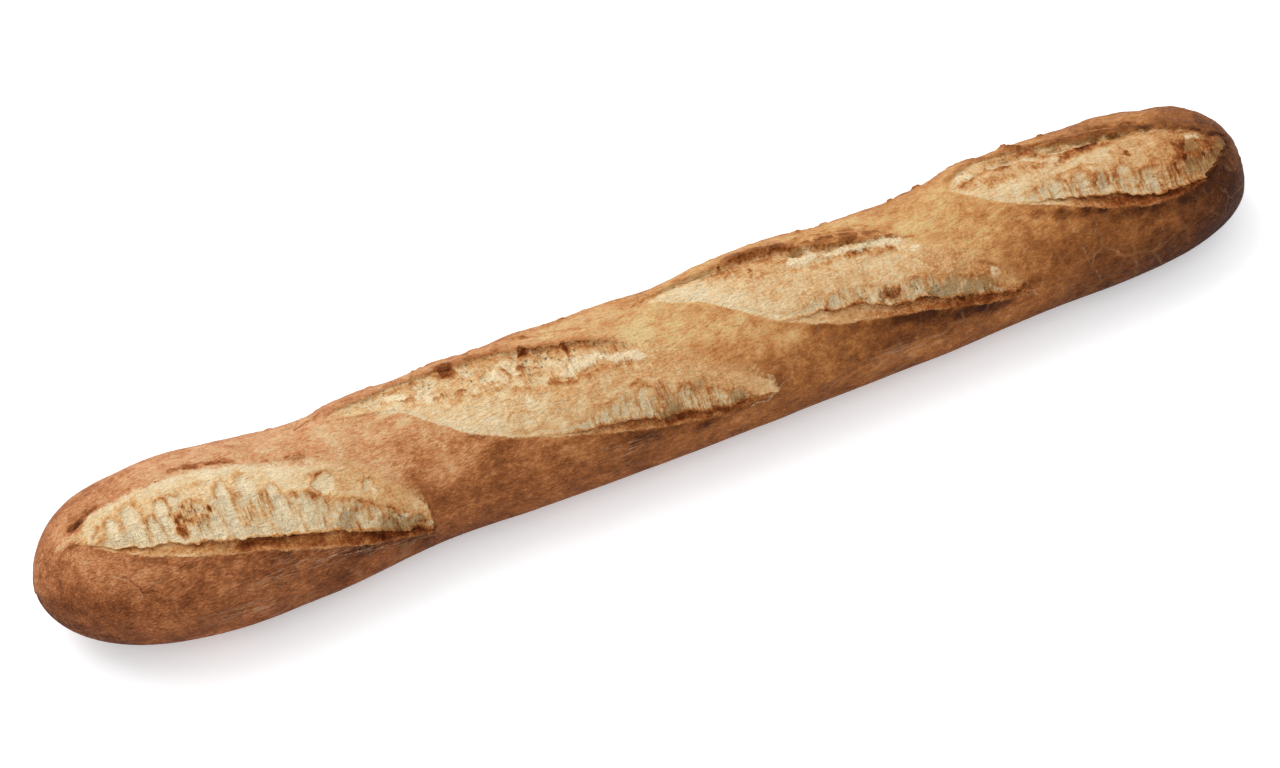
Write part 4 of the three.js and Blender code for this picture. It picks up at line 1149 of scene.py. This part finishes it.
blotch = bread.grain(here, 18 * MM, detail=4, rough=0.6)
mottle = bread.grain(here, 4.5 * MM, detail=3, rough=0.6)
speck = bread.grain(here, 1.4 * MM, detail=1, rough=0.6)
fine = bread.grain(here, 0.75 * MM, detail=0, rough=0.5)
lengthways = bread.stretched(here, (0.28, 1, 1), 0.06)
scratch = bread.grain(lengthways, 0.7 * MM, detail=1, rough=0.6, twist=1.2)
wrinkled = bread.stretched(here, (0.35, 1, 1), 0.12)
wrinkle = bread.grain(wrinkled, 2.4 * MM, detail=2, rough=0.55, twist=1.8)
across = bread.stretched(on_loaf, (1.0, 0.13, 1.0), 0.05)
fibre = bread.grain(across, 0.9, detail=1, rough=0.65, twist=0.5)

# The crust's skin is cracked into tiny plates, drawn out along the loaf.
plated = bread.stretched(bread.bent(here, 260.0, 2.0, 0.004), (0.45, 1, 1), 0.08)
plate = bread.cells(plated, PLATE_SCALE)
plate_tone = bread.node("ShaderNodeSeparateColor", {"Color": plate.outputs["Color"]}).outputs[0]
plate_edge = bread.ease(bread.cell_edges(plated, PLATE_SCALE), 0.14, 0.02)

# Browned crust, a little rosier to the left and more golden to the right.
browning = bread.vary_by(
    look["bake"], (blotch, 0.24), (mottle, 0.18), (wrinkle, 0.14), (speck, 0.10), (scratch, 0.12),
    (fine, 0.10), (plate_tone, 0.07))
browning = bread.sum_up(browning, (plate_edge, -0.04), (look["ridge"], 0.06))
to_right = bread.ease(bread.node("ShaderNodeSeparateXYZ", {0: on_loaf}).outputs[0], 70.0, 330.0)
hair = bread.sum(bread.grain(lengthways, 0.5 * MM, detail=0, rough=0.5), -0.5, 1.0)
browning = bread.sum(browning, bread.times(hair, bread.sum(1.0, to_right, -0.75)), 0.20)
crust_tint = bread.browned(
    browning,
    (0.00, (243, 206, 152)), (0.14, (238, 186, 132)), (0.28, (226, 160, 106)), (0.42, (203, 132, 78)),
    (0.58, (168, 100, 54)), (0.76, (136, 77, 38)), (1.00, (92, 46, 18)), (1.30, (58, 24, 8)))
tone = bread.mix(to_right, (1.0, 0.985, 1.08, 1), (1.0, 1.04, 0.90, 1))
crust_tint = bread.mix(1.0, crust_tint, tone, "MULTIPLY")
fleck = bread.ease(bread.vary(scratch, fine, 0.5), 0.70, 1.0)
fleck = bread.times(fleck, bread.ease(look["bake"], 0.75, 0.35))
crust_tint = bread.tinge(crust_tint, fleck, 0.20, (236, 184, 134))

# Pale hairline cracks, in patches, and the long scuffs where the skin was drawn tight.
cell_edge = bread.cell_edges(bread.bent(here, 150.0, 3.0, 0.006), 62.0)
cracked = bread.ease(bread.grain(here, 30 * MM, detail=2), 0.35, 0.7)
crack = bread.times(bread.ease(cell_edge, 0.050, 0.004), bread.times(cracked, bread.ease(mottle, 0.25, 0.7)))
crack = bread.times(crack, bread.ease(look["bake"], 0.35, 0.6))
crust_tint = bread.tinge(crust_tint, crack, 0.22, (204, 148, 98))
veined = bread.times(look["vein"], bread.ease(mottle, 0.1, 0.6))
vein = bread.times(bread.ease(cell_edge, 0.090, 0.010), veined)
crust_tint = bread.tinge(crust_tint, vein, 0.19, (206, 150, 100))
drawn_out = bread.stretched(here, (0.10, 1, 1), 0.10)
long_hair = bread.grain(drawn_out, 1.0 * MM, detail=2, rough=0.6, twist=1.2)
scuff = bread.times(bread.ease(long_hair, 0.50, 0.82), look["scuff"])
crust_tint = bread.tinge(crust_tint, scuff, 0.72, (206, 160, 128))

# Open dough in the slashes: one scale from cream through toasted orange to burnt brown, whose dark
# end also carries painted shade under the lips and rims and in holes and pits.
cloudy = bread.grain(on_loaf, 5.0, detail=4, rough=0.65)
tan = bread.vary_by(look["tan"], (cloudy, 0.16), (mottle, 0.16), (speck, 0.18), (fine, 0.16))
torn_plates = bread.times(plate_edge, bread.sum(0.3, look["torn"], 0.7))
torn_fibres = bread.times(bread.sum(fibre, -0.5, 1.0), bread.sum(0.10, look["torn"], 0.32))
tan = bread.sum_up(tan, (torn_plates, 0.08), (torn_fibres, 1.0), (look["ridge"], 0.20))
open_tint = bread.browned(
    tan,
    (0.00, (255, 234, 194)), (0.20, (252, 218, 167)), (0.38, (239, 189, 132)), (0.56, (221, 158, 99)),
    (0.74, (189, 117, 63)), (0.92, (149, 79, 36)), (1.10, (109, 50, 16)), (1.30, (64, 24, 8)))
# Grey crumb, with grey painted shade under the hooded cells of the tears.
grey = bread.ease(bread.vary_by(look["grey"], (mottle, 0.40), (fibre, 0.30)), 0.28, 1.0)
open_tint = bread.tinge(open_tint, grey, 0.60, (170, 136, 88))
white = bread.ease(bread.vary_by(look["white"], (speck, 0.45), (mottle, 0.40)), 0.30, 1.0)
open_tint = bread.tinge(open_tint, white, 0.76, (276, 256, 214))

# Small pores in the foam, darkened with painted shade.
pores = bread.cells(bread.stretched(on_loaf, (1.0, 0.7, 1.0)), 0.80)
shaded_pore = bread.times(bread.ease(bread.vary(pores.outputs["Distance"], fine, 0.25), 0.42, 0.10),
                   bread.ease(pores.outputs["Color"], 0.45, 0.65))
shaded_pore = bread.times(shaded_pore, bread.ease(bread.vary(look["foam"], mottle, 0.7), 0.3, 1.0))
open_tint = bread.tinge(open_tint, shaded_pore, 0.72, (120, 74, 38))

outline = bread.vary_by(look["dough"], (mottle, 1.0), (speck, 1.0))
opened = bread.ease(outline, -0.3, 0.7)
tint = bread.mix(opened, crust_tint, open_tint)
pale = bread.ease(bread.vary_by(look["pale"], (fine, 0.30), (speck, 0.30)), 0.10, 0.80)
tint = bread.tinge(tint, pale, 0.60, (236, 192, 148))
grit = bread.vary(scratch, fine, 0.6)
grit = bread.ramp(grit, [(0.0, (0.80, 0.76, 0.72, 1)), (1.0, (1.14, 1.14, 1.14, 1))])
tint = bread.mix(0.50, tint, grit, "MULTIPLY")
bread.put(tint, bread.surface.inputs["Base Color"])

# Grain and wrinkles too fine for the mesh.
relief = bread.sum_up(
    bread.times(speck, 0.5), (fine, 0.22), (scratch, 0.30), (wrinkle, 0.9), (crack, -0.5),
    (plate_edge, -0.25), (bread.times(fibre, look["torn"]), 0.9), (shaded_pore, -0.9))
grained = bread.node("ShaderNodeBump", {"Strength": 1.0, "Distance": 0.6 * MM, "Height": relief})
bread.put(grained.outputs[0], bread.surface.inputs["Normal"])
rough = bread.sum(bread.vary(0.60, speck, 0.20), opened, 0.22)
bread.put(rough, bread.surface.inputs["Roughness"])
bread.surface.inputs["Specular IOR Level"].default_value = 0.06

loaf.data.materials.clear()
loaf.data.materials.append(bread.material)

# A flat layout of the surface: two strips, the slashed top given the most room.
STRIPS = 2
STRIP_MARGIN = 0.01
TOP_SHARE = 0.80
strip_length = LENGTH / STRIPS


def read(items, name, kind, width=1):
    """What every item of the mesh holds under a name, one after the other."""
    values = np.empty(width * len(items), kind)
    items.foreach_get(name, values)
    return values


places = read(thinned.attributes["place"].data, "vector", np.float32, 3)
turns = read(thinned.attributes["turn"].data, "vector", np.float32, 3)
point_of = read(thinned.loops, "vertex_index", np.int32)
loop_start = read(thinned.polygons, "loop_start", np.int32)
loop_total = read(thinned.polygons, "loop_total", np.int32)
face_of = np.repeat(np.arange(len(loop_start)), loop_total)


def over_face(values):
    """The mean over each face, given back to each of its corners."""
    return (np.add.reduceat(values, loop_start) / loop_total)[face_of]


s_corner = places.reshape(-1, 3)[point_of, 0]
cosine, sine = (turns.reshape(-1, 3)[point_of, k] for k in (0, 1))
middle_cosine, middle_sine = over_face(cosine), over_face(sine)
middle = np.arctan2(middle_sine, middle_cosine)
at_tip = np.hypot(cosine, sine) < 0.2
off_sine = sine * np.cos(middle) - cosine * np.sin(middle)
off_cosine = cosine * np.cos(middle) + sine * np.sin(middle)
off_middle = np.arctan2(off_sine, off_cosine)
c_corner = CROWN_RADIUS * (middle + np.where(at_tip, 0, off_middle))
strip = np.clip(over_face(s_corner) // strip_length, 0, STRIPS - 1)
low_side = (1 - TOP_SHARE) / 2
half_girth = girth / 2
up = np.interp(c_corner, [-half_girth - 4, TOP_FROM, TOP_TO, half_girth + 4],
               [0.0, low_side, 1 - low_side, 1.0])
in_strip = np.clip((s_corner - strip * strip_length) / strip_length, -0.005, 1.005)
flat_u = STRIP_MARGIN + (1 - 2 * STRIP_MARGIN) * in_strip
flat_v = (strip + STRIP_MARGIN + (1 - 2 * STRIP_MARGIN) * up) / STRIPS
layout = thinned.uv_layers.new(name="OFBake")
layout.data.foreach_set("uv", np.stack([flat_u, flat_v], -1).astype(np.float32).ravel())

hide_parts("loaf")
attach(loaf, "root")


# The table and the light
# A white table lit a little from below, under large soft lamps. The main lamp stands high behind the
# loaf's left end, so the crown is bright, the near side darker, and a faint shadow lies to the right
# and in front.
FLOOR_HALF = 3.0
floor_mesh = bpy.data.meshes.new("table_top")
floor_mesh.from_pydata(
    [(-FLOOR_HALF, -FLOOR_HALF, 0), (FLOOR_HALF, -FLOOR_HALF, 0),
     (FLOOR_HALF, FLOOR_HALF, 0), (-FLOOR_HALF, FLOOR_HALF, 0)], [], [(0, 1, 2, 3)])
floor = bpy.data.objects.new("table_top", floor_mesh)
bpy.context.collection.objects.link(floor)
white_table = Finish("white_table")
white_table.surface.inputs["Base Color"].default_value = (0.88, 0.88, 0.89, 1)
white_table.surface.inputs["Roughness"].default_value = 0.9
white_table.surface.inputs["Specular IOR Level"].default_value = 0.1
white_table.surface.inputs["Emission Color"].default_value = (0.98, 0.98, 1.0, 1)
white_table.surface.inputs["Emission Strength"].default_value = 0.26
floor_mesh.materials.append(white_table.material)

world = bpy.data.worlds.new("soft_daylight")
world.use_nodes = True
world.node_tree.nodes["Background"].inputs["Color"].default_value = (1.0, 1.0, 1.0, 1)
world.node_tree.nodes["Background"].inputs["Strength"].default_value = 1.0
bpy.context.scene.world = world


def lamp(name, place, aimed_at, size, power):
    """A square softbox that faces aimed_at."""
    light = bpy.data.lights.new(name, "AREA")
    light.size = size
    light.energy = power
    made = bpy.data.objects.new(name, light)
    made.location = place
    made.rotation_euler = (Vector(place) - Vector(aimed_at)).to_track_quat("Z", "Y").to_euler()
    bpy.context.collection.objects.link(made)


lamp("main_softbox", place=(-0.9, 1.3, 1.9), aimed_at=(0, 0, 0), size=1.8, power=34)
bpy.context.scene.view_settings.view_transform = "Standard"
